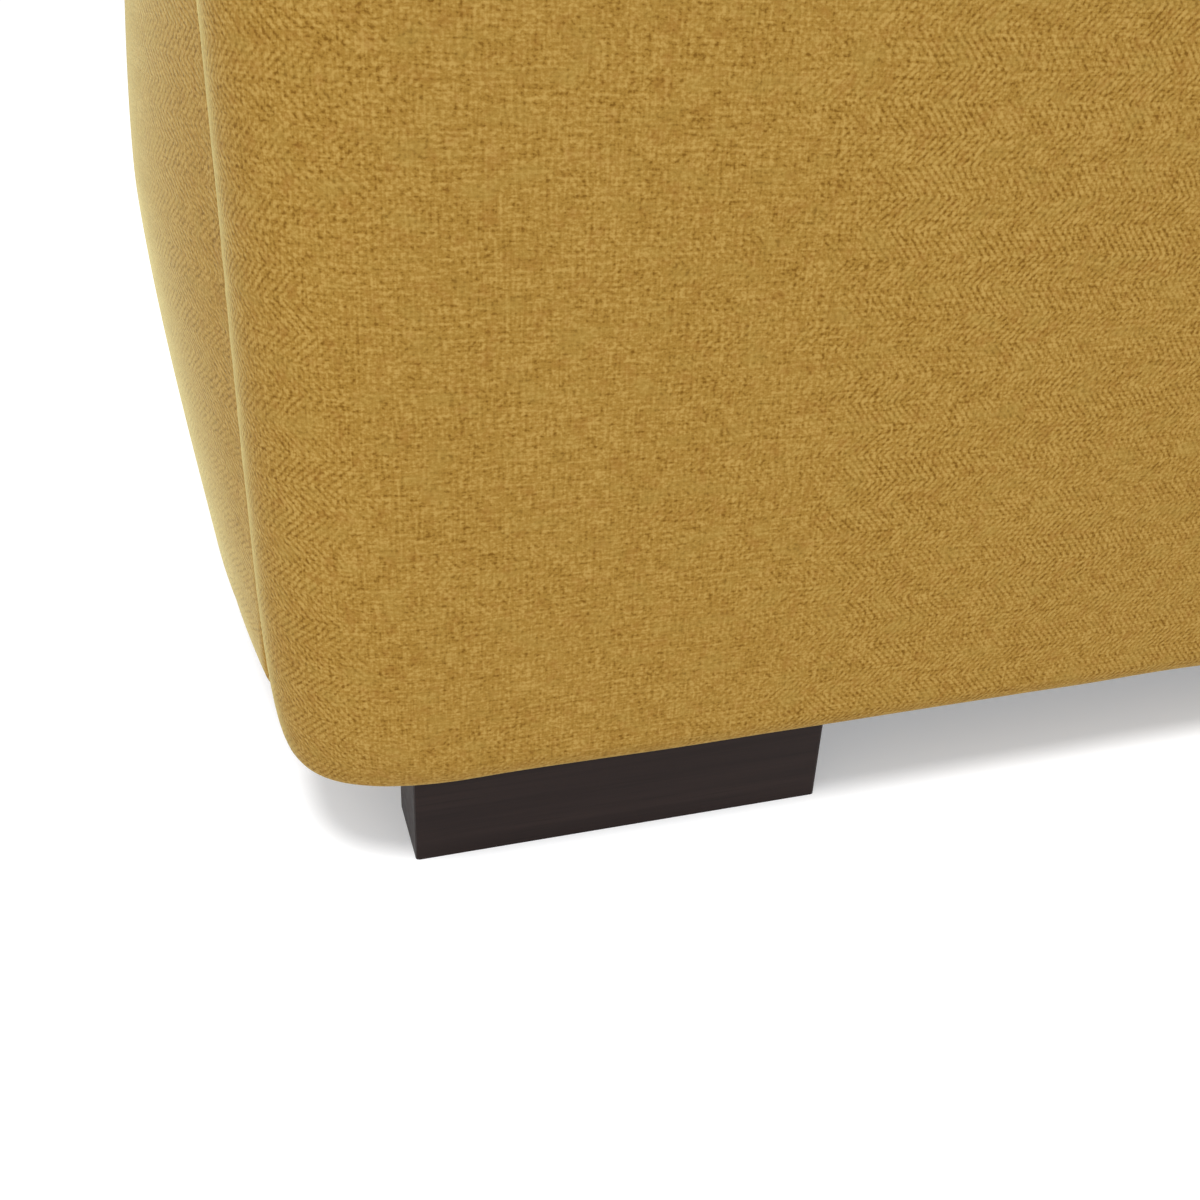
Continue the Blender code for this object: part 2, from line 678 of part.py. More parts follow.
# ---------------------------------------------------------------- lid stays
def bar_outline(start, end, width):
    """A flat bar with round ends between two (y, z) pivots."""
    along = math.degrees(math.atan2(end[1] - start[1], end[0] - start[0]))
    outline = [arc_point(end, width / 2, along + turn) for turn in spread(-90, 90, 6)]
    outline += [arc_point(start, width / 2, along + turn) for turn in spread(90, 270, 6)]
    return outline


def bar(name, start, end, low, high, material=None):
    return side_prism(name, bar_outline(start, end, STAY_WIDTH), low, high, material)


def pivot_hole(obj, place, radius, layer):
    """Bore a bar for a pivot, with running clearance."""
    bore = turned(obj.name + "_bore_%d" % round(1000 * place[1]),
                  [(radius, 0.0), (radius, STAY_BAR + 0.002)],
                  (layer - 0.001, place[0], place[1]), (1, 0, 0), 16)
    boolean(obj, bore, 'DIFFERENCE')


def pivot_pin(obj, place, radius, start, side, reach):
    """A shouldered rivet that stands out of a bracket or bar towards the middle of the box."""
    shank = STAY_BAR / 2 + reach
    profile = [(radius, 0.0), (radius, shank), (radius + RIVET_HEAD, shank),
               (radius + 0.7 * RIVET_HEAD, shank + STAY_BAR / 2)]
    rivet = turned(obj.name + "_rivet", profile, (start, place[0], place[1]), (-side, 0, 0), 16)
    boolean(obj, rivet, 'UNION')


def centre_of(span):
    return (span[0] + span[1]) / 2


def layer_of(side, number):
    """The x span of one layer of a stay, counted from the wall of the box."""
    outer = STAY_INNER - number * (STAY_BAR + STAY_LAYER_GAP)
    inner = outer - STAY_BAR
    return (inner, outer) if side > 0 else (-outer, -inner)


def make_stay(name, side, steel):
    """Box bracket, lower arm, upper arm and lid bracket. With the hinge they form a parallelogram."""
    hinge = Vector((HINGE_AXIS_Y, HINGE_AXIS_Z))
    box_pivot = hinge + STAY_A
    lid_pivot = hinge + STAY_B
    elbow = hinge + STAY_A + STAY_B
    wall = layer_of(side, 0)
    lower = layer_of(side, 1)
    upper = layer_of(side, 2)
    reach = STAY_BAR + 0.0008

    bracket = box("stay_bracket_box_" + name, (wall[0], box_pivot[0] - 0.020, box_pivot[1] - 0.022),
                  (wall[1], box_pivot[0] + 0.014, box_pivot[1] + 0.022), steel)
    pivot_pin(bracket, box_pivot, STAY_PIVOT, centre_of(wall), side, reach)

    lower_arm = bar("stay_arm_lower_" + name, box_pivot, elbow, lower[0], lower[1], steel)
    pivot_hole(lower_arm, box_pivot, STAY_PIVOT + PIVOT_CLEARANCE, lower[0])
    pivot_pin(lower_arm, elbow, ELBOW_PIVOT, centre_of(lower), side, reach)

    upper_arm = bar("stay_arm_upper_" + name, lid_pivot, elbow, upper[0], upper[1], steel)
    pivot_hole(upper_arm, lid_pivot, STAY_PIVOT + PIVOT_CLEARANCE, upper[0])
    pivot_hole(upper_arm, elbow, ELBOW_PIVOT + PIVOT_CLEARANCE, upper[0])

    plate_low = HINGE_AXIS_Z + LEAF_CLEARANCE
    plate_high = plate_low + LEAF
    inner_x = min(abs(lower[0]), abs(lower[1])) - PLATE_REACH
    outer_x = max(abs(lower[0]), abs(lower[1]))
    xs = sorted((side * inner_x, side * outer_x))
    ear = box("stay_bracket_lid_" + name, (lower[0], lid_pivot[0] - 0.012, lid_pivot[1] - 0.009),
              (lower[1], lid_pivot[0] + 0.012, plate_high - 0.0001), steel)
    plate = box("stay_plate_" + name, (xs[0], lid_pivot[0] - PLATE_REACH, plate_low),
                (xs[1], lid_pivot[0] + PLATE_REACH, plate_high))
    boolean(ear, plate, 'UNION')
    pivot_pin(ear, lid_pivot, STAY_PIVOT, centre_of(lower), side, reach)


# ---------------------------------------------------------------- the whole ottoman
def main():
    clear_scene()
    fabric = make_material("cover_fabric", FABRIC, 0.9)
    foam = make_material("foam", FOAM, 0.95)
    wood = make_material("dark_wood", DARK_WOOD, 0.45)
    chipboard = make_material("chipboard", CHIPBOARD, 0.8)
    plywood = make_material("plywood", PLYWOOD, 0.7)
    pine = make_material("pine", PINE, 0.7)
    lining = make_material("lining", LINING_BLACK, 0.9)
    zinc = make_material("zinc_plated_steel", ZINC, 0.35, 1.0)

    make_frame(chipboard, plywood, pine)
    make_upholstery(fabric, foam)
    make_storage_lining(lining)
    make_dust_cover(lining)
    make_lid(fabric, foam, plywood, lining)
    make_feet(wood, zinc)
    for side, sign in (("left", -1), ("right", 1)):
        make_hinge(side, sign * HINGE_X, zinc)
        make_stay(side, sign, zinc)


main()
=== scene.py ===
"""Looks of the storage ottoman: upholstery in a herringbone cloth, wooden feet, linings and fittings.

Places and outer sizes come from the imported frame, and the sizes of soft shapes are named below.
Metres, +Z up, the front faces -Y.
"""
import json
import math
import random

import bmesh
import bpy
import numpy as np
from mathutils import Matrix, Vector, geometry, kdtree, noise


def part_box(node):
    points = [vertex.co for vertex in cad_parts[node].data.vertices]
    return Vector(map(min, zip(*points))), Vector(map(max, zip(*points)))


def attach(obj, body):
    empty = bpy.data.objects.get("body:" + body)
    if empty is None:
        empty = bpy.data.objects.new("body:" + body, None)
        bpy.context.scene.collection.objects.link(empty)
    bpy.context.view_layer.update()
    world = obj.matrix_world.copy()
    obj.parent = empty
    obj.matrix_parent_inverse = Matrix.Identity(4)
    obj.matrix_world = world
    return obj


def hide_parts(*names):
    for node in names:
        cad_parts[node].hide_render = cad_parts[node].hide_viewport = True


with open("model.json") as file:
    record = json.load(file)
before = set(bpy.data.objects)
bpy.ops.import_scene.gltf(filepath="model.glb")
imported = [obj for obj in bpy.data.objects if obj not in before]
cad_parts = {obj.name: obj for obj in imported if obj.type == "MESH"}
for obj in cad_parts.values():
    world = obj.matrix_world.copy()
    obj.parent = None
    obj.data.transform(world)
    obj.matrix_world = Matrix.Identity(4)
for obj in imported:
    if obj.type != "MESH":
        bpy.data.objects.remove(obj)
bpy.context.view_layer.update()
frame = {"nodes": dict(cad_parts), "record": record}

# ---------------------------------------------------------------- sizes read from the frame
FRONT_LOW, FRONT_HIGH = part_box("front_cover")
LID_LOW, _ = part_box("lid_cover")
BOARD_LOW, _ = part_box("right_board")
_, FRONT_BOARD_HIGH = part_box("front_board")
TUB_LOW, TUB_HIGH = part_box("storage_lining")
DUST_LOW, DUST_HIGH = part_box("dust_cover")
LID_LINING_LOW, LID_LINING_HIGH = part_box("lid_lining")
BRACKET_LOW, BRACKET_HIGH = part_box("stay_bracket_box_right")

HALF_DEPTH = -FRONT_LOW.y
HALF_WIDTH = FRONT_HIGH.x
HEM_HEIGHT = FRONT_LOW.z     # fabric turned under the box, which the feet are fixed against
RIM_TOP = FRONT_HIGH.z
INNER_X = BOARD_LOW.x
INNER_Y = -FRONT_BOARD_HIGH.y
LID_BOTTOM = LID_LOW.z

# ---------------------------------------------------------------- sizes of the soft pieces
CLOTH = 0.0016               # thickness
CORNER_RADIUS = 0.0597
CORNER_SQUARE = 2.77         # 2 is a circular corner in plan, more is squarer
SEAM_RADIUS = 0.009          # how tightly a cover turns into the seam between front and side
SEAM_LINE = 0.2383           # distance of those seams from the middle
LIP_FRONT = 0.0420           # lowest point of the padding near the corners
LIP_MIDDLE = 0.0441          # and in the middle of the front
ROLL_FRONT = 0.0105          # radius of the lower edge across the front
ROLL_SIDE = 0.0062           # how far the corners pull in towards the lower edge
ROLL_SIDE_HEIGHT = 0.0787    # height over which they do
ROLL_SQUARE = 2.5            # and how late: 2 is an ellipse
SIDE_CROWN = 0.0303          # most that the side panels stand out beyond the corners
SIDE_CROWN_HEIGHT = 0.2016   # height at which they do
SIDE_CROWN_DROP = 0.0175     # how much less it is at the lower edge
SIDE_CROWN_POWER = 1.5
SIDE_CROWN_SQUARE = 2.6      # 2 is a parabola in plan, more is fuller towards the seams
SIDE_LIP = 0.0420            # lowest point of the side panels' padding
SIDE_ROLL = 0.0110
RIM_ROLL = 0.0150            # radius of the upper edge
HEM_UNDER = 0.0460           # outline to the edge of the fabric under the box
HEM_INSIDE = 0.0150          # fabric turned down inside the rim
FIELD_STEP = 0.0055          # spacing of points over the open part of a panel

EDGE_DROP = 0.0095           # width over which the cloth under the box drops to the lower edge
UNEVENNESS = 0.0004          # of a panel's surface, and of the pulls beside its seams
UNEVENNESS_SIZE = 0.110
PULL_WIDTH = 0.014           # how far a pull reaches from its seam
PULL_SPACING = 0.0085        # from one to the next along it

LID_CROWN = 0.0225           # most that the lid's sides stand out beyond its corners
LID_ROLL = 0.015             # radius of the lid's lower edge
LID_TOP_ROLL = 0.030         # and of its upper edge
LID_EDGE_TOP = 0.4205        # height where the upper edge meets the top
LID_DOME = 0.0135            # how much higher the middle is
LID_DOME_SQUARE = 2.6        # more is flatter in the middle
LID_HEM = (0.3765, 0.2680)   # half sizes of the opening in the fabric under the lid
LID_STEP = 0.006             # spacing of points over the border
LID_TOP_STEP = 0.0065        # and over the top
LID_TOP_GAP = 0.0042         # least distance from those points to the border's last row
LID_EDGE_ANGLES = (18.0, 29.0, 37.0, 40.8, 43.0, 45.0, 47.0, 49.2, 53.0, 61.0, 72.0, 82.0)
LID_SEAM_ANGLE = 45.0        # where on the upper edge the top is sewn to the border
HELD_ROWS = 10               # rows, from the hem over the lower edge, that the simulation holds
CLOTH_FRAMES = 20            # of the lid's simulation
SWELL_CAP = 0.0075           # most that a point moves when the lid is blown up
STEEPEST_SWELL = 0.45        # how fast the blown up cloth may rise from a held seam
TOP_SEAM = (0.0020, 0.0024)  # depth and width of the valley along the seam round the top
SIDE_SEAM = (0.0042, 0.0050)  # and along the upright seams
PUCKER_DEPTH = 0.0012
PUCKER_SPACING = 0.011

WEAVE_BAND = 0.0090          # height of one band of the herringbone
WEAVE_PITCH = 0.0026         # distance between twill lines along a band
WEAVE_SLOPE = 0.95           # how far along a line moves for each unit that it rises

SHEET_STEP = 0.007           # spacing of points over a lining
LINING = 0.0007              # thickness of the storage space's lining
LINING_CUT = 0.031           # how much of its corners the glue blocks take
STAPLE_SPACING = 0.045
STAPLE_INSET = 0.006         # from a lining's edge to its staples

# ---------------------------------------------------------------- camera
CAMERA_PLACE = (-0.42493, -0.63346, 0.28697)
CAMERA_YAW = 18.9            # degrees from +Y towards +X
CAMERA_PITCH = 27.4          # degrees below level
CAMERA_ROLL = -2.7           # degrees
CAMERA_LENS = 36.0


# ---------------------------------------------------------------- node materials
class Shader:
    """A Principled material and short calls that add nodes to it."""

    def __init__(self, name, color, roughness, metallic=0.0):
        self.material = bpy.data.materials.new(name)
        self.material.use_nodes = True
        self.tree = self.material.node_tree
        self.principled = self.tree.nodes["Principled BSDF"]
        self.set("Base Color", (*color, 1.0))
        self.set("Roughness", roughness)
        self.set("Metallic", metallic)

    def set(self, socket, value):
        self.principled.inputs[socket].default_value = value

    def link(self, value, socket):
        self.tree.links.new(value, self.principled.inputs[socket])

    def feed(self, socket, value):
        if isinstance(value, bpy.types.NodeSocket):
            self.tree.links.new(value, socket)
        else:
            socket.default_value = value

    def node(self, kind, inputs=(), **settings):
        node = self.tree.nodes.new(kind)
        for key, value in settings.items():
            setattr(node, key, value)
        for key, value in dict(inputs).items():
            self.feed(node.inputs[key], value)
        return node

    def math(self, operation, *values):
        return self.node('ShaderNodeMath', enumerate(values), operation=operation).outputs[0]

    def mix(self, factor, a, b):
        node = self.node('ShaderNodeMix', data_type='RGBA')
        self.feed(node.inputs[0], factor)
        self.feed(node.inputs[6], (*a, 1.0) if isinstance(a, tuple) else a)
        self.feed(node.inputs[7], (*b, 1.0) if isinstance(b, tuple) else b)
        return node.outputs[2]

    def noise(self, vector, scale, detail=2.0, roughness=0.5, distortion=0.0):
        return self.node('ShaderNodeTexNoise', {
            "Vector": vector, "Scale": scale, "Detail": detail,
            "Roughness": roughness, "Distortion": distortion,
        }).outputs[0]

    def cells(self, vector, scale, feature='F1'):
        return self.node('ShaderNodeTexVoronoi', {"Vector": vector, "Scale": scale}, feature=feature)

    def ramp(self, value, low, high, to_low=0.0, to_high=1.0):
        return self.node('ShaderNodeMapRange', {
            0: value, 1: low, 2: high, 3: to_low, 4: to_high,
        }, interpolation_type='SMOOTHSTEP').outputs[0]

    def parts(self, vector):
        return self.node('ShaderNodeSeparateXYZ', {0: vector}).outputs

    def place(self):
        return self.node('ShaderNodeTexCoord').outputs["Object"]

    def stretched(self, vector, scale):
        return self.node('ShaderNodeMapping', {"Vector": vector, "Scale": scale}).outputs[0]

    def centred(self, value, amount):
        """A signal around a half, turned into one around nothing."""
        return self.math('MULTIPLY_ADD', value, amount, -amount / 2)

    def bump(self, height, distance, strength=1.0):
        node = self.node('ShaderNodeBump', {"Height": height, "Distance": distance, "Strength": strength})
        self.link(node.outputs[0], "Normal")


CLOTH_DARK = (0.1392, 0.0639, 0.0055)
CLOTH_MID = (0.2504, 0.1382, 0.0228)
CLOTH_LIGHT = (0.3465, 0.2142, 0.0538)
CLOTH_RUST = (0.2322, 0.1078, 0.0179)
CLOTH_STRAW = (0.2716, 0.1709, 0.0345)


def upholstery_material(name, sheen, sheen_tint, loose, pulled):
    """Melange herringbone: twill lines that turn back in every band, over yarns of mixed tones.

    Distances are from the middle of a panel's width. The lines are faint between the two of loose.
    Beyond the first of pulled, the cloth is stretched sideways by the second.
    """
    s = Shader(name, CLOTH_MID, 0.9)
    uv = s.node('ShaderNodeUVMap', uv_map="weave").outputs[0]
    flat_u, v, _ = s.parts(uv)
    start, stretch = pulled
    beyond = s.math('MAXIMUM', s.math('SUBTRACT', flat_u, start), 0.0)
    beyond = s.math('ADD', beyond, s.math('MINIMUM', s.math('ADD', flat_u, start), 0.0))
    u = s.math('MULTIPLY_ADD', beyond, -stretch, flat_u)
    wander = s.noise(uv, 110.0, 3.0, 0.6)
    u = s.math('MULTIPLY_ADD', wander, 0.0030, u)
    v = s.math('MULTIPLY_ADD', s.noise(uv, 45.0, 1.0), 0.0030, v)
    rise = s.math('PINGPONG', v, WEAVE_BAND)
    along = s.math('MULTIPLY_ADD', rise, WEAVE_SLOPE, u)
    phase = s.math('MULTIPLY', along, 2 * math.pi / WEAVE_PITCH)
    away = s.math('ABSOLUTE', flat_u)
    inner, outer = loose
    before = s.ramp(away, inner - 0.04, inner + 0.04, 1.0, 0.0)
    clear = s.math('MAXIMUM', before, s.ramp(away, outer - 0.025, outer + 0.025))
    jitter = s.math('MULTIPLY', s.noise(uv, 700.0, 1.0), s.math('MULTIPLY_ADD', clear, -1.7, 3.4))
    phase = s.math('ADD', jitter, phase)
    gap = s.math('MULTIPLY_ADD', s.math('COSINE', phase), 0.5, 0.5)
    line = s.math('SUBTRACT', 0.39, s.math('POWER', gap, 1.9))
    clarity = s.ramp(s.noise(uv, 30.0, 2.0), 0.36, 0.66, 0.04, 0.34)
    clarity = s.math('MULTIPLY_ADD', clear, 0.48, clarity)
    twill = s.math('MULTIPLY', line, clarity)
    grain = s.noise(s.stretched(uv, (0.8, 1.15, 1.0)), 980.0, 1.5, 0.6)
    slub = s.noise(s.stretched(uv, (560.0, 800.0, 1.0)), 1.0, 2.0, 0.6)
    speck = s.parts(s.cells(uv, 820.0).outputs[1])[0]
    weft = s.noise(s.stretched(uv, (90.0, 1020.0, 1.0)), 1.0, 1.5)
    warp = s.noise(s.stretched(uv, (1020.0, 120.0, 1.0)), 1.0, 1.5)
    cloud = s.noise(uv, 26.0, 2.5, 0.6)
    tone = s.math('MULTIPLY_ADD', twill, 0.50, 0.57)
    layers = ((grain, 1.15), (slub, 1.05), (speck, 0.14), (weft, 0.85), (warp, 0.80), (cloud, 0.16))
    for layer, amount in layers:
        tone = s.math('ADD', tone, s.centred(layer, amount))
    lower = s.mix(s.ramp(tone, 0.05, 0.52), CLOTH_DARK, CLOTH_MID)
    cloth = s.mix(s.ramp(tone, 0.46, 1.0), lower, CLOTH_LIGHT)
    rust = s.ramp(s.noise(uv, 150.0, 3.0, 0.6), 0.50, 0.74, 0.0, 0.45)
    cloth = s.mix(rust, cloth, CLOTH_RUST)
    straw = s.ramp(s.noise(s.stretched(uv, (0.6, 1.0, 1.0)), 120.0, 2.0), 0.50, 0.76, 0.0, 0.45)
    cloth = s.mix(straw, cloth, CLOTH_STRAW)
    s.link(cloth, "Base Color")
    height = s.math('ADD', s.math('MULTIPLY', twill, 0.7), grain)
    height = s.math('ADD', height, s.math('MULTIPLY', speck, 0.15))
    s.bump(height, 0.00025, 0.5)
    s.set("Sheen Weight", sheen)
    s.set("Sheen Roughness", 0.24)
    s.set("Sheen Tint", sheen_tint)
    s.set("Specular IOR Level", 0.10)
    return s.material


def wood_material():
    """Dark stained and lacquered wood, grain along X."""
    s = Shader("stained_wood", (0.026, 0.019, 0.017), 0.42)
    place = s.place()
    grain = s.noise(s.stretched(place, (5.0, 150.0, 210.0)), 1.0, 5.0, 0.62, 0.4)
    pores = s.noise(s.stretched(place, (26.0, 1100.0, 1400.0)), 1.0, 2.0, 0.5)
    tone = s.mix(s.ramp(grain, 0.32, 0.70), (0.0145, 0.0084, 0.0074), (0.0215, 0.0128, 0.0112))
    tone = s.mix(s.ramp(pores, 0.56, 0.74, 0.0, 0.55), tone, (0.010, 0.007, 0.006))
    s.link(tone, "Base Color")
    s.link(s.ramp(grain, 0.2, 0.8, 0.40, 0.52), "Roughness")
    s.bump(s.math('MULTIPLY_ADD', pores, -0.5, grain), 0.00010, 0.35)
    s.set("Specular IOR Level", 0.10)
    s.set("Coat Weight", 0.02)
    s.set("Coat Roughness", 0.35)
    return s.material


def nonwoven_material():
    """Charcoal spunbond cloth: matted fibres, pressed together in small cells."""
    s = Shader("nonwoven", (0.030, 0.030, 0.032), 0.85)
    place = s.place()
    edge = s.cells(place, 430.0, 'DISTANCE_TO_EDGE').outputs[0]
    fibre = s.noise(place, 850.0, 3.0, 0.7)
    cloud = s.noise(place, 22.0, 3.0, 0.6)
    tone = s.mix(s.ramp(fibre, 0.30, 0.70), (0.018, 0.018, 0.020), (0.060, 0.060, 0.064))
    tone = s.mix(s.ramp(cloud, 0.35, 0.70, 0.0, 0.45), tone, (0.046, 0.046, 0.050))
    s.link(tone, "Base Color")
    s.link(s.ramp(cloud, 0.3, 0.7, 0.72, 0.92), "Roughness")
    s.bump(s.math('MULTIPLY_ADD', fibre, 0.4, s.ramp(edge, 0.0, 0.3)), 0.00022, 0.6)
    s.set("Sheen Weight", 0.15)
    s.set("Sheen Roughness", 0.4)
    return s.material


def board_material(name, dark, light, scale, rough=0.8):
    """Raw board, wood or foam: chips, streaks or cells in two tones, with fine grain."""
    s = Shader(name, light, rough)
    place = s.place()
    chips = s.parts(s.cells(s.stretched(place, scale), 1.0).outputs[1])[0]
    fine = s.noise(s.stretched(place, scale), 3.0, 4.0, 0.6)
    tone = s.mix(s.ramp(chips, 0.1, 0.9), dark, light)
    tone = s.mix(s.ramp(fine, 0.35, 0.75, 0.0, 0.6), tone, dark)
    s.link(tone, "Base Color")
    s.link(s.ramp(fine, 0.2, 0.8, rough - 0.1, rough + 0.1), "Roughness")
    s.bump(fine, 0.0003, 0.5)
    return s.material


def zinc_material():
    """Bright zinc plating, slightly cloudy and rubbed along Y."""
    s = Shader("zinc_plating", (0.62, 0.62, 0.60), 0.32, 1.0)
    place = s.place()
    cloud = s.noise(place, 90.0, 4.0, 0.6)
    rub = s.noise(s.stretched(place, (1300.0, 60.0, 1300.0)), 1.0, 2.0)
    s.link(s.mix(cloud, (0.46, 0.46, 0.45), (0.74, 0.74, 0.73)), "Base Color")
    s.link(s.ramp(s.math('MULTIPLY_ADD', rub, 0.4, cloud), 0.4, 1.0, 0.24, 0.48), "Roughness")
    s.bump(rub, 0.00003, 0.5)
    return s.material


# ---------------------------------------------------------------- mesh helpers
def add_object(name, mesh, material):
    obj = bpy.data.objects.new(name, mesh)
    bpy.context.scene.collection.objects.link(obj)
    mesh.materials.append(material)
    mesh.shade_smooth()
    return obj


def mesh_object(name, verts, faces, material):
    mesh = bpy.data.meshes.new(name)
    mesh.from_pydata([tuple(v) for v in verts], [], faces)
    mesh.update()
    return add_object(name, mesh, material)


def grid_faces(rows, columns, closed=False):
    """Quads of a grid of points stored row by row. A closed grid joins its last column to its first."""
    faces = []
    for i in range(rows - 1):
        for j in range(columns if closed else columns - 1):
            k = (j + 1) % columns
            faces.append((i * columns + j, i * columns + k, (i + 1) * columns + k, (i + 1) * columns + j))
    return faces


def set_uv(mesh, loop_uvs):
    layer = mesh.uv_layers.new(name="weave")
    layer.data.foreach_set("uv", np.asarray(loop_uvs, np.float32).ravel())


def grid_object(name, grid, uvs, material):
    """A sheet through a grid of points, with the weave's place at each of them."""
    rows, columns = grid.shape[:2]
    obj = mesh_object(name, grid.reshape(-1, 3), grid_faces(rows, columns), material)
    index = np.zeros(len(obj.data.loops), np.int32)
    obj.data.loops.foreach_get("vertex_index", index)
    set_uv(obj.data, uvs.reshape(-1, 2)[index])
    return obj


def weave_place(grid, level_row):
    """Distance along the rows and up each column, so that the bands run level through one row."""
    across = np.linalg.norm(np.diff(grid, axis=1), axis=2)
    middle = np.concatenate([[0.0], np.cumsum(across[len(grid) // 2])])
    climb = np.linalg.norm(np.diff(grid, axis=0), axis=2)
    v = np.concatenate([np.zeros((1, grid.shape[1])), np.cumsum(climb, axis=0)])
    v = v - v[level_row] + grid[level_row, :, 2]
    u = np.broadcast_to(middle - middle[-1] / 2, v.shape)
    return np.stack([u, v], axis=2)


def thicken(obj, thickness):
    """Gives a sheet its thickness, all of it behind its face."""
    solidify = obj.modifiers.new("thickness", 'SOLIDIFY')
    solidify.thickness = thickness
    solidify.offset = -1.0


def nearest_of(points):
    """A tree that finds the nearest of some points, and its number and distance."""
    tree = kdtree.KDTree(len(points))
    for i, p in enumerate(points):
        tree.insert(p, i)
    tree.balance()
    return tree


def vertex_values(mesh, key):
    values = np.zeros(len(mesh.vertices) * 3)
    mesh.vertices.foreach_get(key, values)
    return values.reshape(-1, 3)


def move_vertices(mesh, places):
    mesh.vertices.foreach_set("co", places.ravel())
    mesh.update()


def arc_length(points):
    steps = np.linalg.norm(np.diff(points, axis=0), axis=1)
    return np.concatenate([[0.0], np.cumsum(steps)])


def arc(centre, radius, start, end, steps):
    angles = np.radians(np.linspace(start, end, steps + 1))
    return np.stack([centre[0] + radius * np.cos(angles), centre[1] + radius * np.sin(angles)], axis=1)


def between(first, last, step):
    """Evenly spaced numbers after the first one, up to the last."""
    count = max(1, int(round(abs(last - first) / step)))
    return np.linspace(first, last, count + 1)[1:]


def smooth(t):
    t = np.clip(t, 0.0, 1.0)
    return t * t * (3 - 2 * t)


def lerp(a, b, t):
    return a + (b - a) * t


def surface_normals(grid):
    normals = np.cross(np.gradient(grid, axis=1), np.gradient(grid, axis=0))
    return normals / np.maximum(np.linalg.norm(normals, axis=2, keepdims=True), 1e-9)


def field(points, size, seed):
    """Smooth random values, about -1 to 1, at points in space."""
    flat = np.asarray(points, float).reshape(-1, 3) / size + np.array([seed * 3.17, seed * 1.73, seed * 0.91])
    values = np.array([noise.noise(Vector(p)) for p in flat])
    return values.reshape(np.asarray(points).shape[:-1])


def line_noise(values, size, seed):
    return np.array([noise.noise(Vector((x / size, seed * 5.3, 0.0))) for x in values])


# ---------------------------------------------------------------- box panels
CORNER_START_X = HALF_WIDTH - CORNER_RADIUS
CORNER_START_Y = HALF_DEPTH - CORNER_RADIUS
SEAM_X = HALF_WIDTH - SEAM_RADIUS
SPREAD = 0.012               # how much of a hem the corner's cloth takes on each side of the frame's corner
INNER_CHAMFER = 0.0306       # legs of the glue blocks in the frame's corners, which the cloth passes over


def corner_points(steps):
    """Front left corner in plan, from its flank to the front, and the inward direction at each point."""
    t = np.linspace(0.0, math.pi / 2, steps * 8 + 1)
    share = 2.0 / CORNER_SQUARE
    x = -CORNER_START_X - CORNER_RADIUS * np.cos(t).clip(0) ** share
    y = -CORNER_START_Y - CORNER_RADIUS * np.sin(t).clip(0) ** share
    fine = np.stack([x, y], axis=1)
    length = arc_length(fine)
    at = np.linspace(0.0, length[-1], steps + 1)
    points = np.stack([np.interp(at, length, fine[:, i]) for i in (0, 1)], axis=1)
    way = np.stack([-np.gradient(points[:, 1]), np.gradient(points[:, 0])], axis=1)
    way /= np.linalg.norm(way, axis=1, keepdims=True)
    way[-1] = (0.0, 1.0)
    return points[1:], way[1:]


def front_outline():
    """Left seam to right seam of a front panel: x, y, inward direction and share of the corner."""
    seam_y = SEAM_LINE + SEAM_RADIUS
    turn = arc((-SEAM_X, -seam_y), SEAM_RADIUS, 90, 180, 12)
    flank_y = -between(seam_y, CORNER_START_Y, 0.004)
    flank = np.stack([np.full(len(flank_y), -HALF_WIDTH), flank_y], axis=1)
    corner, way = corner_points(34)
    front_x = between(-CORNER_START_X, 0.0, FIELD_STEP)
    front = np.stack([front_x, np.full(len(front_x), -HALF_DEPTH)], axis=1)
    parts = [
        np.column_stack([turn, np.tile([1.0, 0.0, 0.0], (len(turn), 1))]),
        np.column_stack([flank, np.tile([1.0, 0.0, 0.0], (len(flank), 1))]),
        np.column_stack([corner, way, np.linspace(0, 1, len(corner) + 1)[1:]]),
        np.column_stack([front, np.tile([0.0, 1.0, 1.0], (len(front), 1))]),
    ]
    half = np.concatenate(parts)
    return np.concatenate([half, half[-2::-1] * [-1, 1, -1, 1, 1]])


def front_hem(outline, inner_x, inner_y, spread, cut_off):
    """Where each point of a front panel's outline lands when it is folded flat over the frame.

    The frame's corner is square, or cut off at 45 degrees.
    """
    x, y, part = outline[:, 0], outline[:, 1], outline[:, 4]
    side = np.where(x < 0, -1.0, 1.0)
    low_y = inner_y - spread
    flank = SEAM_LINE + (np.abs(y) - SEAM_LINE) * (low_y - SEAM_LINE) / (CORNER_START_Y - SEAM_LINE)
    up = low_y + spread * (part if cut_off else np.minimum(2 * part, 1.0))
    across = inner_x - spread * (part if cut_off else np.maximum(2 * part - 1.0, 0.0))
    front = np.abs(x) * (inner_x - spread) / CORNER_START_X
    hem_y = np.where(part <= 0, flank, up)
    hem_x = np.where(part >= 1, front, across)
    return np.stack([side * hem_x, -hem_y], axis=1)


def roll_rows(count=12):
    """Angles of an edge roll, from lying flat to standing upright."""
    return np.radians(np.linspace(90, 0, count + 1))


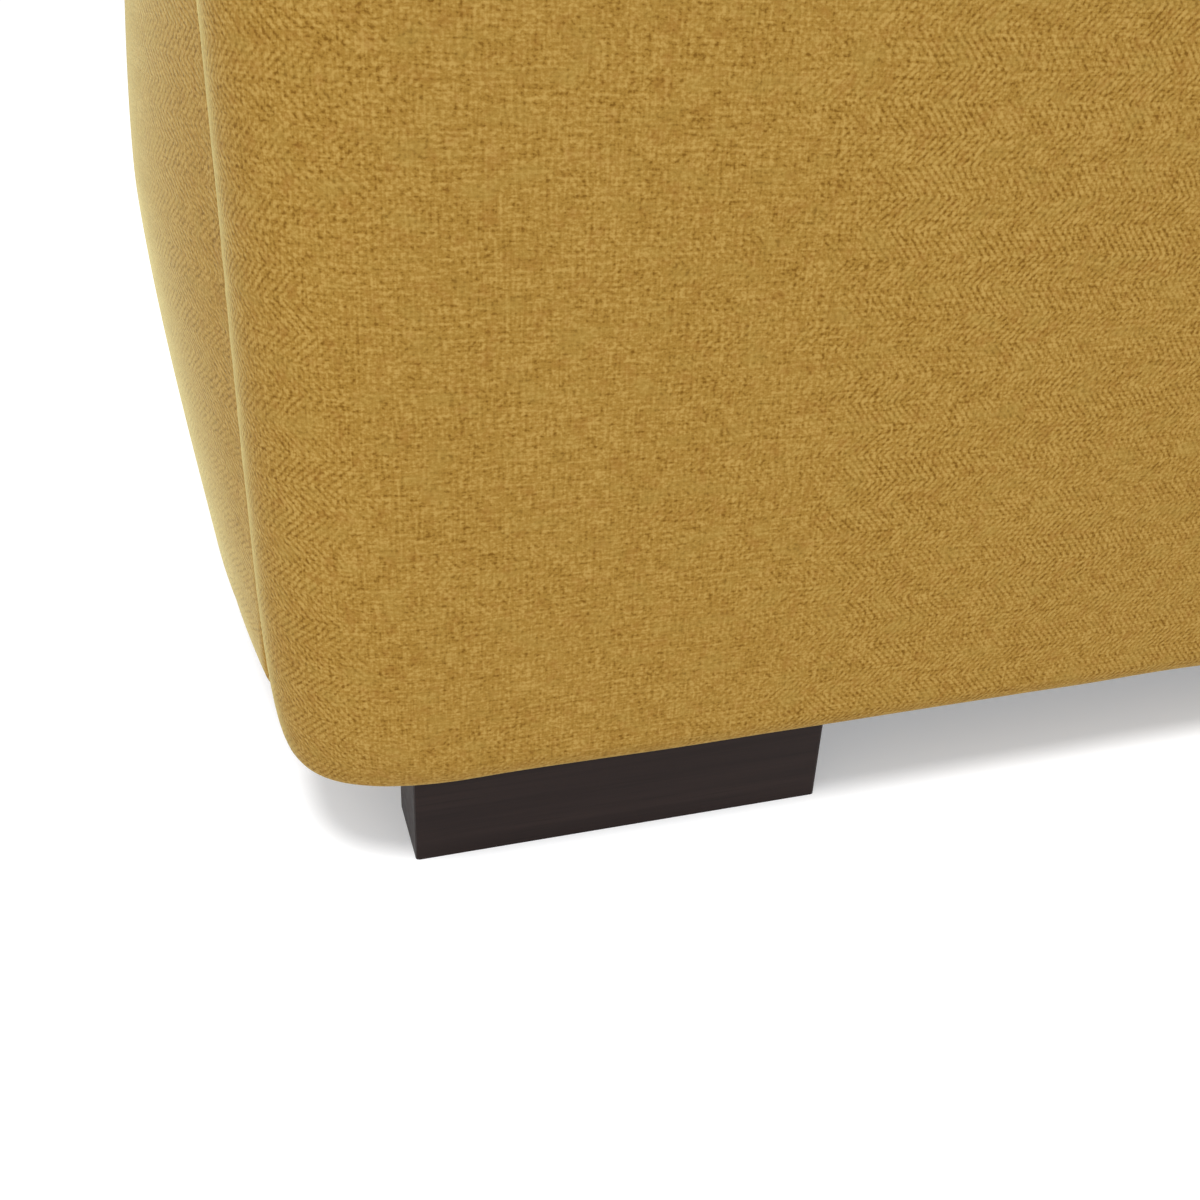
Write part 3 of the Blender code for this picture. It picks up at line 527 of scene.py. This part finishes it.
def panel_grid(edge, hem, lip, roll_in, roll_up, square=2.0):
    """Rows of a box panel from its hem under the box, round the lower edge, up and over the rim.

    edge(z, inset) gives the outline's points, hem(inset) those of a hem this far from the outline.
    The lower roll is a superellipse with the power square.
    """
    rows = []

    def add(points, z):
        z = np.broadcast_to(z, (len(points),))
        rows.append(np.column_stack([points, z]))

    under = hem(HEM_UNDER)
    lip_in = edge(lip, roll_in + EDGE_DROP)
    for t in (0.0, 0.35, 0.7):
        add(lerp(under, lip_in, t), HEM_HEIGHT)
    for t in (0.0, 0.2, 0.4, 0.6, 0.8):
        add(lerp(lip_in, edge(lip, roll_in), t), lerp(HEM_HEIGHT, lip, smooth(t)))
    for a in roll_rows():
        inset = roll_in * (1 - max(math.cos(a), 0.0) ** (2 / square))
        add(edge(lip, inset), lip + roll_up * (1 - math.sin(a) ** (2 / square)))
    start = lip + roll_up
    top = RIM_TOP - RIM_ROLL
    for t in between(0.0, 1.0, FIELD_STEP / (top - HEM_HEIGHT)):
        z = lerp(start, top, t)
        add(edge(z, 0.0), z)
    for a in roll_rows()[::-1][1:]:
        z = top + RIM_ROLL * math.sin(a)
        add(edge(z, RIM_ROLL * (1 - math.cos(a))), z)
    rim = edge(RIM_TOP, RIM_ROLL)
    inner = hem(None)
    for t in (0.25, 0.5, 0.75, 0.92):
        add(lerp(rim, inner, t), RIM_TOP)
    add(lerp(rim, inner, 0.985), RIM_TOP - 0.0005)
    for z in (0.0020, 0.0060, HEM_INSIDE):
        add(inner, RIM_TOP - z)
    return np.array(rows)


LEVEL_ROW = -17              # row of a panel, on its upper edge, along which the weave's bands run level


def finish_panel(name, grid, material, seed, turned, nodes, slack=1.0):
    """Gives a panel its soft unevenness and seam pulls, then makes it a closed piece of cloth."""
    u = arc_length(grid[len(grid) // 2])
    v = arc_length(grid[:, grid.shape[1] // 2])
    normals = surface_normals(grid)
    # 1 over the open face and 0 on the upper and lower edges
    open_rows = (smooth((v - 0.05) / 0.03) * smooth((v[-1] - 0.06 - v) / 0.03))[:, None]
    shift = UNEVENNESS * field(grid, UNEVENNESS_SIZE, seed) * open_rows
    near_left, near_right = np.exp(-u / PULL_WIDTH), np.exp(-(u[-1] - u) / PULL_WIDTH)
    pull = np.outer(line_noise(v, PULL_SPACING, seed), near_left)
    pull += np.outer(line_noise(v, PULL_SPACING, seed + 7), near_right)
    shift += UNEVENNESS * pull * open_rows
    grid = grid + normals * (slack * shift)[..., None]
    if turned:
        grid = grid * [-1, -1, 1]
    obj = grid_object(name, grid, weave_place(grid, LEVEL_ROW), material)
    thicken(obj, CLOTH)
    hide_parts(*nodes)
    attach(obj, "box")
    return obj


def front_panel(material, seed, side):
    outline = front_outline()
    points, ways = outline[:, :2], outline[:, 2:4]
    share = np.abs(ways[:, 0])
    middle = smooth((CORNER_START_X - np.abs(points[:, 0])) / 0.30)
    wave = 0.0007 * line_noise(points[:, 0], 0.045, seed)
    lip = lerp(LIP_FRONT, LIP_MIDDLE, middle) + wave * (1 - share)
    roll_in = lerp(ROLL_FRONT, ROLL_SIDE, share)
    roll_up = lerp(ROLL_FRONT, ROLL_SIDE_HEIGHT, share)

    def edge(z, inset):
        return points + ways * np.broadcast_to(inset, (len(points),))[:, None]

    def hem(reach):
        if reach is None:
            return front_hem(outline, INNER_X, INNER_Y, INNER_CHAMFER, True)
        return front_hem(outline, HALF_WIDTH - reach, HALF_DEPTH - reach, SPREAD, False)

    grid = panel_grid(edge, hem, lip, roll_in, roll_up, 2.0 + (ROLL_SQUARE - 2.0) * share)
    nodes = (side + "_cover", side + "_pad")
    return finish_panel(side + "_upholstery", grid, material, seed, side == "back", nodes)


def side_crown(z):
    away = np.abs(z - SIDE_CROWN_HEIGHT) / (SIDE_CROWN_HEIGHT - SIDE_LIP)
    return SIDE_CROWN - SIDE_CROWN_DROP * away ** SIDE_CROWN_POWER


def side_points(crown):
    """Front seam to back seam of the right side panel, where its middle stands out this far."""
    seam_y = SEAM_LINE - SEAM_RADIUS
    turn = arc((SEAM_X, -seam_y), SEAM_RADIUS, 270, 342, 10)
    y = between(turn[-1, 1], 0.0, FIELD_STEP)
    x = HALF_WIDTH + crown * (1 - np.abs(y / seam_y) ** SIDE_CROWN_SQUARE)
    half = np.concatenate([turn, np.stack([np.maximum(x, turn[-1, 0]), y], axis=1)])
    return np.concatenate([half, half[-2::-1] * [1, -1]])


def side_panel(material, seed, side):
    flat = side_points(0.0)
    lip = np.full(len(flat), SIDE_LIP) + 0.0006 * line_noise(flat[:, 1], 0.05, seed)
    roll_in = np.full(len(flat), SIDE_ROLL)

    def edge(z, inset):
        levels = np.broadcast_to(np.maximum(z, SIDE_LIP), (len(flat),))
        crown = side_crown(levels)
        full = side_points(1.0)
        points = flat.copy()
        points[:, 0] += (full[:, 0] - flat[:, 0]) * crown - inset
        return points

    def hem(reach):
        points = flat.copy()
        points[:, 0] = INNER_X if reach is None else HALF_WIDTH - reach
        return points

    grid = panel_grid(edge, hem, lip, roll_in, roll_in)
    nodes = (side + "_cover", side + "_pad")
    return finish_panel(side + "_upholstery", grid, material, seed, side == "left", nodes, 0.4)


# ---------------------------------------------------------------- lid cushion
def lid_outline():
    """Closed outline of the lid, anticlockwise from its front left seam: x, y and inward direction."""
    near = np.array([0.0, 0.0011, 0.0024, 0.0042, 0.0070])
    flank_y = -(SEAM_LINE + np.concatenate([near, between(near[-1], CORNER_START_Y - SEAM_LINE, 0.004)]))
    flank = np.stack([np.full(len(flank_y), -HALF_WIDTH), flank_y], axis=1)
    corner, way = corner_points(26)
    front_x = between(-CORNER_START_X, 0.0, LID_STEP)
    front = np.stack([front_x, np.full(len(front_x), -HALF_DEPTH)], axis=1)
    half = np.concatenate([
        np.column_stack([flank, np.tile([1.0, 0.0], (len(flank), 1))]),
        np.column_stack([corner, way]),
        np.column_stack([front, np.tile([0.0, 1.0], (len(front), 1))]),
    ])
    front = np.concatenate([half, half[-2::-1] * [-1, 1, -1, 1]])
    side_y = np.concatenate([-SEAM_LINE + near[1:], between(-SEAM_LINE + near[-1], 0.0, LID_STEP)])
    side_y = np.concatenate([side_y, -side_y[-2::-1]])
    crown = 1 - np.abs(side_y / SEAM_LINE) ** SIDE_CROWN_SQUARE
    right = np.column_stack([HALF_WIDTH + LID_CROWN * crown, side_y])
    slope = np.gradient(right[:, 0], right[:, 1]) * smooth((SEAM_LINE - np.abs(side_y)) / 0.10)
    ways = np.stack([-np.ones(len(slope)), slope], axis=1)
    ways /= np.linalg.norm(ways, axis=1, keepdims=True)
    right = np.column_stack([right, ways])
    return np.concatenate([front, right, front * -1, right * -1])


def dome(x, y):
    across = np.maximum(1 - np.abs(x / (HALF_WIDTH + LID_CROWN)) ** LID_DOME_SQUARE, 0)
    along = np.maximum(1 - np.abs(y / HALF_DEPTH) ** LID_DOME_SQUARE, 0)
    return LID_EDGE_TOP + LID_DOME * across * along


def is_inside(x, y, ring):
    """Whether a point lies in a closed outline, by the number of its edges to the right of the point."""
    ahead = np.roll(ring, -1, axis=0)
    spans = (ring[:, 1] > y) != (ahead[:, 1] > y)
    rise = np.where(spans, ahead[:, 1] - ring[:, 1], 1.0)
    crossing = ring[:, 0] + (y - ring[:, 1]) * (ahead[:, 0] - ring[:, 0]) / rise
    return np.count_nonzero(spans & (crossing > x)) % 2 == 1


def lid_cushion(material):
    """Boxed cushion: a border and a top sewn together round the edge, blown up by cloth simulation.

    The border is a closed grid of rows, and the top a mesh of triangles inside its last row.
    """
    outline = lid_outline()
    points, ways = outline[:, :2], outline[:, 2:]
    count = len(outline)
    rows = []

    def add(plan, z):
        rows.append(np.column_stack([plan, np.broadcast_to(z, (count,))]))

    hem = points * np.array(LID_HEM) / (HALF_WIDTH, HALF_DEPTH)
    hem[:, 0] = np.clip(hem[:, 0], -LID_HEM[0], LID_HEM[0])
    rolled = points + ways * LID_ROLL
    for t in (0.0, 0.4, 0.75):
        add(lerp(hem, rolled, t), LID_BOTTOM)
    for a in roll_rows(6):
        add(points + ways * LID_ROLL * (1 - math.cos(a)), LID_BOTTOM + LID_ROLL * (1 - math.sin(a)))
    start, stop = LID_BOTTOM + LID_ROLL, LID_EDGE_TOP - LID_TOP_ROLL
    for z in between(start, stop, LID_STEP):
        add(points, z)
    seam_row = len(rows) + LID_EDGE_ANGLES.index(LID_SEAM_ANGLE)
    for a in np.radians(LID_EDGE_ANGLES):
        plan = points + ways * LID_TOP_ROLL * (1 - math.cos(a))
        add(plan, LID_EDGE_TOP - LID_TOP_ROLL * (1 - math.sin(a)))
    for inset in (LID_TOP_ROLL, LID_TOP_ROLL + LID_STEP):
        plan = points + ways * inset
        blend = smooth((inset - LID_TOP_ROLL) / 0.012 + 0.3)
        add(plan, lerp(LID_EDGE_TOP, dome(plan[:, 0], plan[:, 1]), blend))
    grid = np.array(rows)

    ring = grid[-1, :, :2]
    tree = nearest_of([(x, y, 0.0) for x, y in ring])
    inside = []
    for i, x in enumerate(np.arange(-0.45, 0.45, LID_TOP_STEP)):
        for y in np.arange(-0.32, 0.32, LID_TOP_STEP):
            y = y + (LID_TOP_STEP / 2 if i % 2 else 0.0)
            gap = tree.find((x, y, 0.0))[2]
            if gap > LID_TOP_GAP and is_inside(x, y, ring):
                inside.append((x, y))
    flat = [Vector(p) for p in ring] + [Vector(p) for p in inside]
    edges = [(i, (i + 1) % count) for i in range(count)]
    out, _, faces, _, _, _ = geometry.delaunay_2d_cdt(flat, edges, [], 1, 1e-7, False)

    def centre(face):
        return sum((out[i] for i in face), Vector((0, 0))) / 3

    faces = [f for f in faces if max(f) >= count or is_inside(*centre(f), ring)]
    base = (len(rows) - 1) * count
    top = np.array([[p[0], p[1], dome(p[0], p[1])] for p in inside])
    verts = np.concatenate([grid.reshape(-1, 3), top])
    border_faces = grid_faces(len(rows), count, closed=True)
    top_faces = [tuple(base + i for i in f) for f in faces]
    obj = mesh_object("lid_upholstery", verts, border_faces + top_faces, material)

    around = arc_length(np.concatenate([points, points[:1]]))
    up = arc_length(grid[:, count // 8])
    loops = []
    for i in range(len(rows) - 1):
        for j in range(count):
            if i < seam_row:
                loops += [(around[j], up[i]), (around[j + 1], up[i]), (around[j + 1], up[i + 1]),
                          (around[j], up[i + 1])]
            else:
                k = (j + 1) % count
                loops += [tuple(grid[i, j, :2]), tuple(grid[i, k, :2]), tuple(grid[i + 1, k, :2]),
                          tuple(grid[i + 1, j, :2])]
    for face in top_faces:
        loops += [tuple(verts[i, :2]) for i in face]
    set_uv(obj.data, loops)

    held_rows = [*range(HELD_ROWS), seam_row]
    held = [i * count + j for i in held_rows for j in range(count)]
    seam_columns = [j for j in range(count) if abs(abs(points[j, 1]) - SEAM_LINE) < 0.0003]
    held += [i * count + j for i in range(seam_row) for j in seam_columns]
    inflate(obj, sorted(set(held)))
    sew_lid(obj, seam_row, seam_columns, count)
    thicken(obj, CLOTH)
    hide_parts("lid_cover", "lid_foam")
    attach(obj, "lid")
    return obj


def inflate(obj, held):
    """Blows a sewn cover up by cloth simulation, holding its seams, and keeps each move below a cap.

    Close to a held point the cap shrinks with the distance, so that the cloth can't fold over there.
    """
    group = obj.vertex_groups.new(name="held")
    group.add(held, 1.0, 'REPLACE')
    cloth = obj.modifiers.new("cloth", 'CLOTH')
    settings = cloth.settings
    settings.quality = 5
    settings.mass = 0.25
    settings.tension_stiffness = 18.0
    settings.compression_stiffness = 18.0
    settings.shear_stiffness = 6.0
    settings.bending_stiffness = 0.8
    settings.shrink_min = -0.012
    settings.use_pressure = True
    settings.uniform_pressure_force = 4.0
    settings.vertex_group_mass = group.name
    settings.effector_weights.gravity = 0.0
    cloth.collision_settings.use_collision = False
    scene = bpy.context.scene
    for number in range(1, CLOTH_FRAMES + 1):
        scene.frame_set(number)
    blown = obj.evaluated_get(bpy.context.evaluated_depsgraph_get())
    before = vertex_values(obj.data, "co")
    move = vertex_values(blown.data, "co") - before
    length = np.maximum(np.linalg.norm(move, axis=1, keepdims=True), 1e-9)
    tree = nearest_of(before[held])
    reach = np.array([tree.find(p)[2] for p in before])[:, None]
    limit = np.maximum(SWELL_CAP * np.tanh(reach * STEEPEST_SWELL / SWELL_CAP), 1e-9)
    move *= limit * np.tanh(length / limit) / length
    obj.modifiers.remove(cloth)
    obj.vertex_groups.remove(group)
    move_vertices(obj.data, before + move)
    scene.frame_set(1)


def sew_lid(obj, seam_row, seam_columns, count):
    """Draws the cloth in along the seams, with small puckers beside them."""
    place, normal = vertex_values(obj.data, "co"), vertex_values(obj.data, "normal")
    seams = [place[seam_row * count + j] for j in range(count)]
    lengths = list(arc_length(np.array(seams)))
    for j in seam_columns:
        column = [place[i * count + j] for i in range(4, seam_row)]
        fine = np.concatenate([np.linspace(a, b, 5)[:-1] for a, b in zip(column[:-1], column[1:])])
        seams += list(fine)
        lengths += list(arc_length(fine) + 3.0 * (j + 1))
    tree = nearest_of(seams)
    move = np.zeros(len(place))
    for i in range(len(place)):
        _, k, gap = tree.find(place[i])
        if gap < 0.03:
            on_side = k >= count
            depth, width = SIDE_SEAM if on_side else TOP_SEAM
            fade = smooth(np.array((place[i, 2] - LID_BOTTOM - 0.004) / 0.02)) if on_side else 1.0
            pucker = noise.noise(Vector((lengths[k] / PUCKER_SPACING, 2.5, 0.0)))
            pucker *= 1 - math.exp(-gap / 0.004)
            move[i] = -depth * math.exp(-(gap / width) ** 2) * fade
            move[i] += PUCKER_DEPTH * pucker * math.exp(-gap / 0.010) * fade
    place += normal * move[:, None]
    place += normal * (0.0005 * field(place, 0.07, 5.0) * smooth((place[:, 2] - LID_BOTTOM) / 0.03))[:, None]
    move_vertices(obj.data, place)


# ---------------------------------------------------------------- linings
def finish_sheet(obj, body, node=None):
    if node:
        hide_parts(node)
    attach(obj, body)
    return obj


def flat_sheet(name, low, high, material, sag, seed, thickness):
    """A stapled sheet facing down: slightly slack and creased between its edges."""
    xs = np.linspace(low.x, high.x, int((high.x - low.x) / SHEET_STEP))
    ys = np.linspace(low.y, high.y, int((high.y - low.y) / SHEET_STEP))
    gx, gy = np.meshgrid(xs, ys)
    across = 1 - np.abs(gx / high.x) ** 4
    along = 1 - np.abs(gy / high.y) ** 4
    grid = np.stack([gx, gy, np.full_like(gx, low.z)], axis=2)
    crease = field(grid * [1.0, 1.0, 0.0], 0.045, seed) + 0.6 * field(grid * [2.4, 0.7, 0.0], 0.060, seed + 3)
    grid[..., 2] += -sag * across * along + abs(sag) * 0.35 * crease * np.sqrt(across * along)
    obj = mesh_object(name, grid.reshape(-1, 3), [f[::-1] for f in grid_faces(len(ys), len(xs))], material)
    thicken(obj, thickness)
    return obj


def tub_walls(material):
    """The lining's wall: one strip round the storage space with a turned hem at the top."""
    half_x, half_y = TUB_HIGH.x - 0.0002, TUB_HIGH.y - 0.0002
    cut_x, cut_y = half_x - LINING_CUT, half_y - LINING_CUT
    corners = [(-half_x, -cut_y), (-cut_x, -half_y), (cut_x, -half_y), (half_x, -cut_y),
               (half_x, cut_y), (cut_x, half_y), (-cut_x, half_y), (-half_x, cut_y)]
    outline = []
    for a, b in zip(corners, corners[1:] + corners[:1]):
        steps = max(2, int(math.dist(a, b) / SHEET_STEP))
        outline += [tuple(lerp(np.array(a), np.array(b), t)) for t in np.linspace(0, 1, steps + 1)[:-1]]
    outline = np.array(outline)
    count = len(outline)
    along = np.roll(outline, -1, axis=0) - np.roll(outline, 1, axis=0)
    inward = np.stack([-along[:, 1], along[:, 0]], axis=1)
    inward /= np.linalg.norm(inward, axis=1, keepdims=True)
    floor, top = TUB_LOW.z + 0.0004, TUB_HIGH.z
    heights = np.concatenate([[floor], between(floor, top - 0.016, 0.008), [top - 0.0145, top - 0.013],
                              between(top - 0.013, top, 0.0045)])
    rows = []
    # 1 where the cloth may fold, and 0 near the stay brackets, where it has to lie flat
    loose = smooth((np.abs(np.abs(outline[:, 1]) - 0.20) - 0.06) / 0.03) + (outline[:, 1] < 0)
    loose = np.minimum(loose, 1.0)
    for z in heights:
        level = smooth((z - floor) / 0.05) * smooth((top - 0.02 - z) / 0.03)
        p3 = np.column_stack([outline, np.full(count, z)])
        fold = field(p3 * [1.0, 1.0, 0.25], 0.030, 8.0) + 0.7 * field(p3, 0.075, 9.0)
        inset = (0.0009 + 0.0011 * fold) * level * loose
        if z > top - 0.014:
            inset = inset + 0.0005
        rows.append(np.column_stack([outline + inward * np.maximum(inset, 0.0)[:, None], np.full(count, z)]))
    grid = np.array(rows)
    faces = [f[::-1] for f in grid_faces(len(rows), count, closed=True)]
    obj = mesh_object("storage_lining_walls", grid.reshape(-1, 3), faces, material)
    thicken(obj, LINING)
    return finish_sheet(obj, "box", node="storage_lining")


def tub_floor(material):
    """The lining's floor, its corners drawn in along the glue blocks."""
    half_x, half_y = TUB_HIGH.x - 0.0012, TUB_HIGH.y - 0.0012
    xs = np.linspace(-half_x, half_x, int(2 * half_x / SHEET_STEP))
    ys = np.linspace(-half_y, half_y, int(2 * half_y / SHEET_STEP))
    gx, gy = np.meshgrid(xs, ys)
    reach = half_x + half_y - LINING_CUT
    over = np.maximum(np.abs(gx) + np.abs(gy) - reach, 0.0)
    gx, gy = gx - np.sign(gx) * over / 2, gy - np.sign(gy) * over / 2
    grid = np.stack([gx, gy, np.full_like(gx, TUB_LOW.z + 0.0009)], axis=2)
    wave = field(grid, 0.050, 4.0) + 0.6 * field(grid * [0.5, 2.2, 1.0], 0.060, 6.0)
    edge = (1 - np.abs(gx / half_x) ** 6) * (1 - np.abs(gy / half_y) ** 6)
    grid[..., 2] += np.maximum(0.0009 * wave, 0.0) * np.clip(edge, 0, 1)
    obj = mesh_object("storage_lining_floor", grid.reshape(-1, 3), grid_faces(len(ys), len(xs)), material)
    thicken(obj, LINING)
    return finish_sheet(obj, "box")


# ---------------------------------------------------------------- staples
STAPLE_CROWN = 0.0105
STAPLE_WIRE = 0.0011
STAPLE_HALF_HEIGHT = 0.0003
# Share of the crown's length, and height above the cloth: both ends dip into it.
STAPLE_STATIONS = ((-0.5, -0.0008), (-0.47, 0.00025), (-0.40, 0.00055),
                   (0.40, 0.00055), (0.47, 0.00025), (0.5, -0.0008))


def staples(name, places, body, material):
    """Flat-wire staples: each place is a point, the direction of its crown, and the outward direction."""
    build = bmesh.new()
    chance = random.Random(3)
    for place, along, out in places:
        place, along, out = Vector(place), Vector(along).normalized(), Vector(out).normalized()
        along = (Matrix.Rotation(chance.uniform(-0.12, 0.12), 3, out) @ along).normalized()
        side = out.cross(along)
        ring_a, last = None, None
        for t, rise in STAPLE_STATIONS:
            centre = place + along * (t * STAPLE_CROWN) + out * rise
            w, h = STAPLE_WIRE / 2, STAPLE_HALF_HEIGHT
            ring = [build.verts.new(centre + side * a + out * b) for a, b in
                    ((-w, -h), (w, -h), (w, h * 0.6), (w * 0.6, h), (-w * 0.6, h), (-w, h * 0.6))]
            if last:
                for i in range(6):
                    k = (i + 1) % 6
                    build.faces.new((last[i], last[k], ring[k], ring[i]))
            else:
                ring_a = ring
            last = ring
        build.faces.new(ring_a[::-1])
        build.faces.new(last)
    bmesh.ops.recalc_face_normals(build, faces=build.faces)
    mesh = bpy.data.meshes.new(name)
    build.to_mesh(mesh)
    build.free()
    obj = add_object(name, mesh, material)
    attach(obj, body)
    return obj


def places_under(low, high):
    """Places of the staples round a sheet facing down, from two corners of the box that it fills."""
    half_x, half_y, z = high.x - STAPLE_INSET, high.y - STAPLE_INSET, low.z
    out = (0, 0, -1)
    places = []
    for sign in (-1, 1):
        for x in np.linspace(-half_x + 0.02, half_x - 0.02, int(2 * half_x / STAPLE_SPACING)):
            places.append(((x, sign * half_y, z), (1, 0, 0), out))
        for y in np.linspace(-half_y + 0.02, half_y - 0.02, int(2 * half_y / STAPLE_SPACING)):
            places.append(((sign * half_x, y, z), (0, 1, 0), out))
    return places


def tub_places():
    """Places of the staples along the top of the storage lining, with none near a stay bracket."""
    half_x, half_y, z = TUB_HIGH.x - 0.0016, TUB_HIGH.y - 0.0016, TUB_HIGH.z - 0.0065
    places = []
    for sign in (-1, 1):
        for x in np.linspace(-half_x + 0.05, half_x - 0.05, 15):
            places.append(((x, sign * half_y, z), (1, 0, 0), (0, -sign, 0)))
        for y in np.linspace(-half_y + 0.05, half_y - 0.05, 11):
            if y < BRACKET_LOW.y - 0.05 or y > BRACKET_HIGH.y + 0.02:
                places.append(((sign * half_x, y, z), (0, 1, 0), (-sign, 0, 0)))
    return places


# ---------------------------------------------------------------- stage, lights and camera
def make_stage():
    verts = [(-9, -9, 0), (9, -9, 0), (9, 9, 0), (-9, 9, 0)]
    s = Shader("studio_floor", (0.80, 0.80, 0.80), 0.95)
    s.set("Specular IOR Level", 0.0)
    s.set("Emission Color", (0.95, 1.0, 1.06, 1.0))
    s.set("Emission Strength", 0.28)
    floor = mesh_object("studio_floor", verts, [(0, 1, 2, 3)], s.material)


def area_light(name, place, target, size, power):
    data = bpy.data.lights.new(name, 'AREA')
    data.shape = 'DISK'
    data.size = size
    data.energy = power
    light = bpy.data.objects.new(name, data)
    bpy.context.scene.collection.objects.link(light)
    light.location = place
    light.rotation_euler = (Vector(target) - Vector(place)).to_track_quat('-Z', 'Y').to_euler()


def make_lights():
    world = bpy.data.worlds.new("studio")
    bpy.context.scene.world = world
    world.use_nodes = True
    background = world.node_tree.nodes["Background"]
    background.inputs[0].default_value = (1.0, 1.0, 1.0, 1.0)
    background.inputs[1].default_value = 1.0
    area_light("key", place=(-0.80, -1.20, 2.40), target=(0.0, -0.1, 0.1), size=0.8, power=52.0)


def make_camera():
    yaw, pitch, roll = (math.radians(a) for a in (CAMERA_YAW, CAMERA_PITCH, CAMERA_ROLL))
    forward = Vector((math.sin(yaw) * math.cos(pitch), math.cos(yaw) * math.cos(pitch), -math.sin(pitch)))
    level = Vector((math.cos(yaw), -math.sin(yaw), 0.0))
    down = forward.cross(level)
    right = math.cos(roll) * level + math.sin(roll) * down
    down = -math.sin(roll) * level + math.cos(roll) * down
    data = bpy.data.cameras.new("camera")
    data.sensor_width = 36.0
    data.lens = CAMERA_LENS
    data.clip_start = 0.01
    camera = bpy.data.objects.new("camera", data)
    bpy.context.scene.collection.objects.link(camera)
    turn = Matrix((right, -down, -forward)).transposed()
    camera.matrix_world = Matrix.Translation(CAMERA_PLACE) @ turn.to_4x4()
    bpy.context.scene.camera = camera
    bpy.context.scene.view_settings.view_transform = 'Standard'


# ---------------------------------------------------------------- the whole ottoman
def main():
    make_camera()
    make_lights()
    make_stage()
    cloth = upholstery_material("upholstery", sheen=0.24, sheen_tint=(0.96, 1.0, 0.50, 1.0),
                                loose=(0.25, 0.395), pulled=(0.375, 0.28))
    side_cloth = upholstery_material("upholstery_sides", sheen=0.36, sheen_tint=(0.98, 1.0, 0.57, 1.0),
                                     loose=(0.0, 0.12), pulled=(0.14, 0.50))
    nonwoven = nonwoven_material()
    zinc = zinc_material()
    by_slot = {
        "cover_fabric": cloth,
        "foam": board_material("foam", (0.62, 0.55, 0.34), (0.78, 0.72, 0.50), (400, 400, 400)),
        "dark_wood": wood_material(),
        "chipboard": board_material("chipboard", (0.25, 0.15, 0.07), (0.52, 0.38, 0.22), (210, 210, 340)),
        "plywood": board_material("plywood", (0.42, 0.27, 0.13), (0.64, 0.48, 0.30), (12, 110, 420)),
        "pine": board_material("pine", (0.50, 0.31, 0.14), (0.72, 0.54, 0.32), (140, 140, 6)),
        "lining": nonwoven,
        "zinc_steel": zinc,
    }
    for part in frame["record"]["subparts"]:
        obj = frame["nodes"][part["node"]]
        obj.data.materials.clear()
        obj.data.materials.append(by_slot[part["material_slot"]])
    front_panel(cloth, 1.0, "front")
    front_panel(cloth, 2.0, "back")
    side_panel(side_cloth, 3.0, "right")
    side_panel(side_cloth, 4.0, "left")
    lid_cushion(cloth)
    tub_walls(nonwoven)
    tub_floor(nonwoven)
    dust = flat_sheet("dust_cover_cloth", DUST_LOW, DUST_HIGH, nonwoven,
                      sag=0.0016, seed=11.0, thickness=0.0005)
    finish_sheet(dust, "box", node="dust_cover")
    under = flat_sheet("lid_lining_cloth", LID_LINING_LOW, LID_LINING_HIGH, nonwoven,
                       sag=0.0010, seed=12.0, thickness=0.0006)
    finish_sheet(under, "lid", node="lid_lining")
    staples("staples_under_box", places_under(DUST_LOW, DUST_HIGH), "box", zinc)
    staples("staples_under_lid", places_under(LID_LINING_LOW, LID_LINING_HIGH), "lid", zinc)
    staples("staples_storage_lining", tub_places(), "box", zinc)


main()
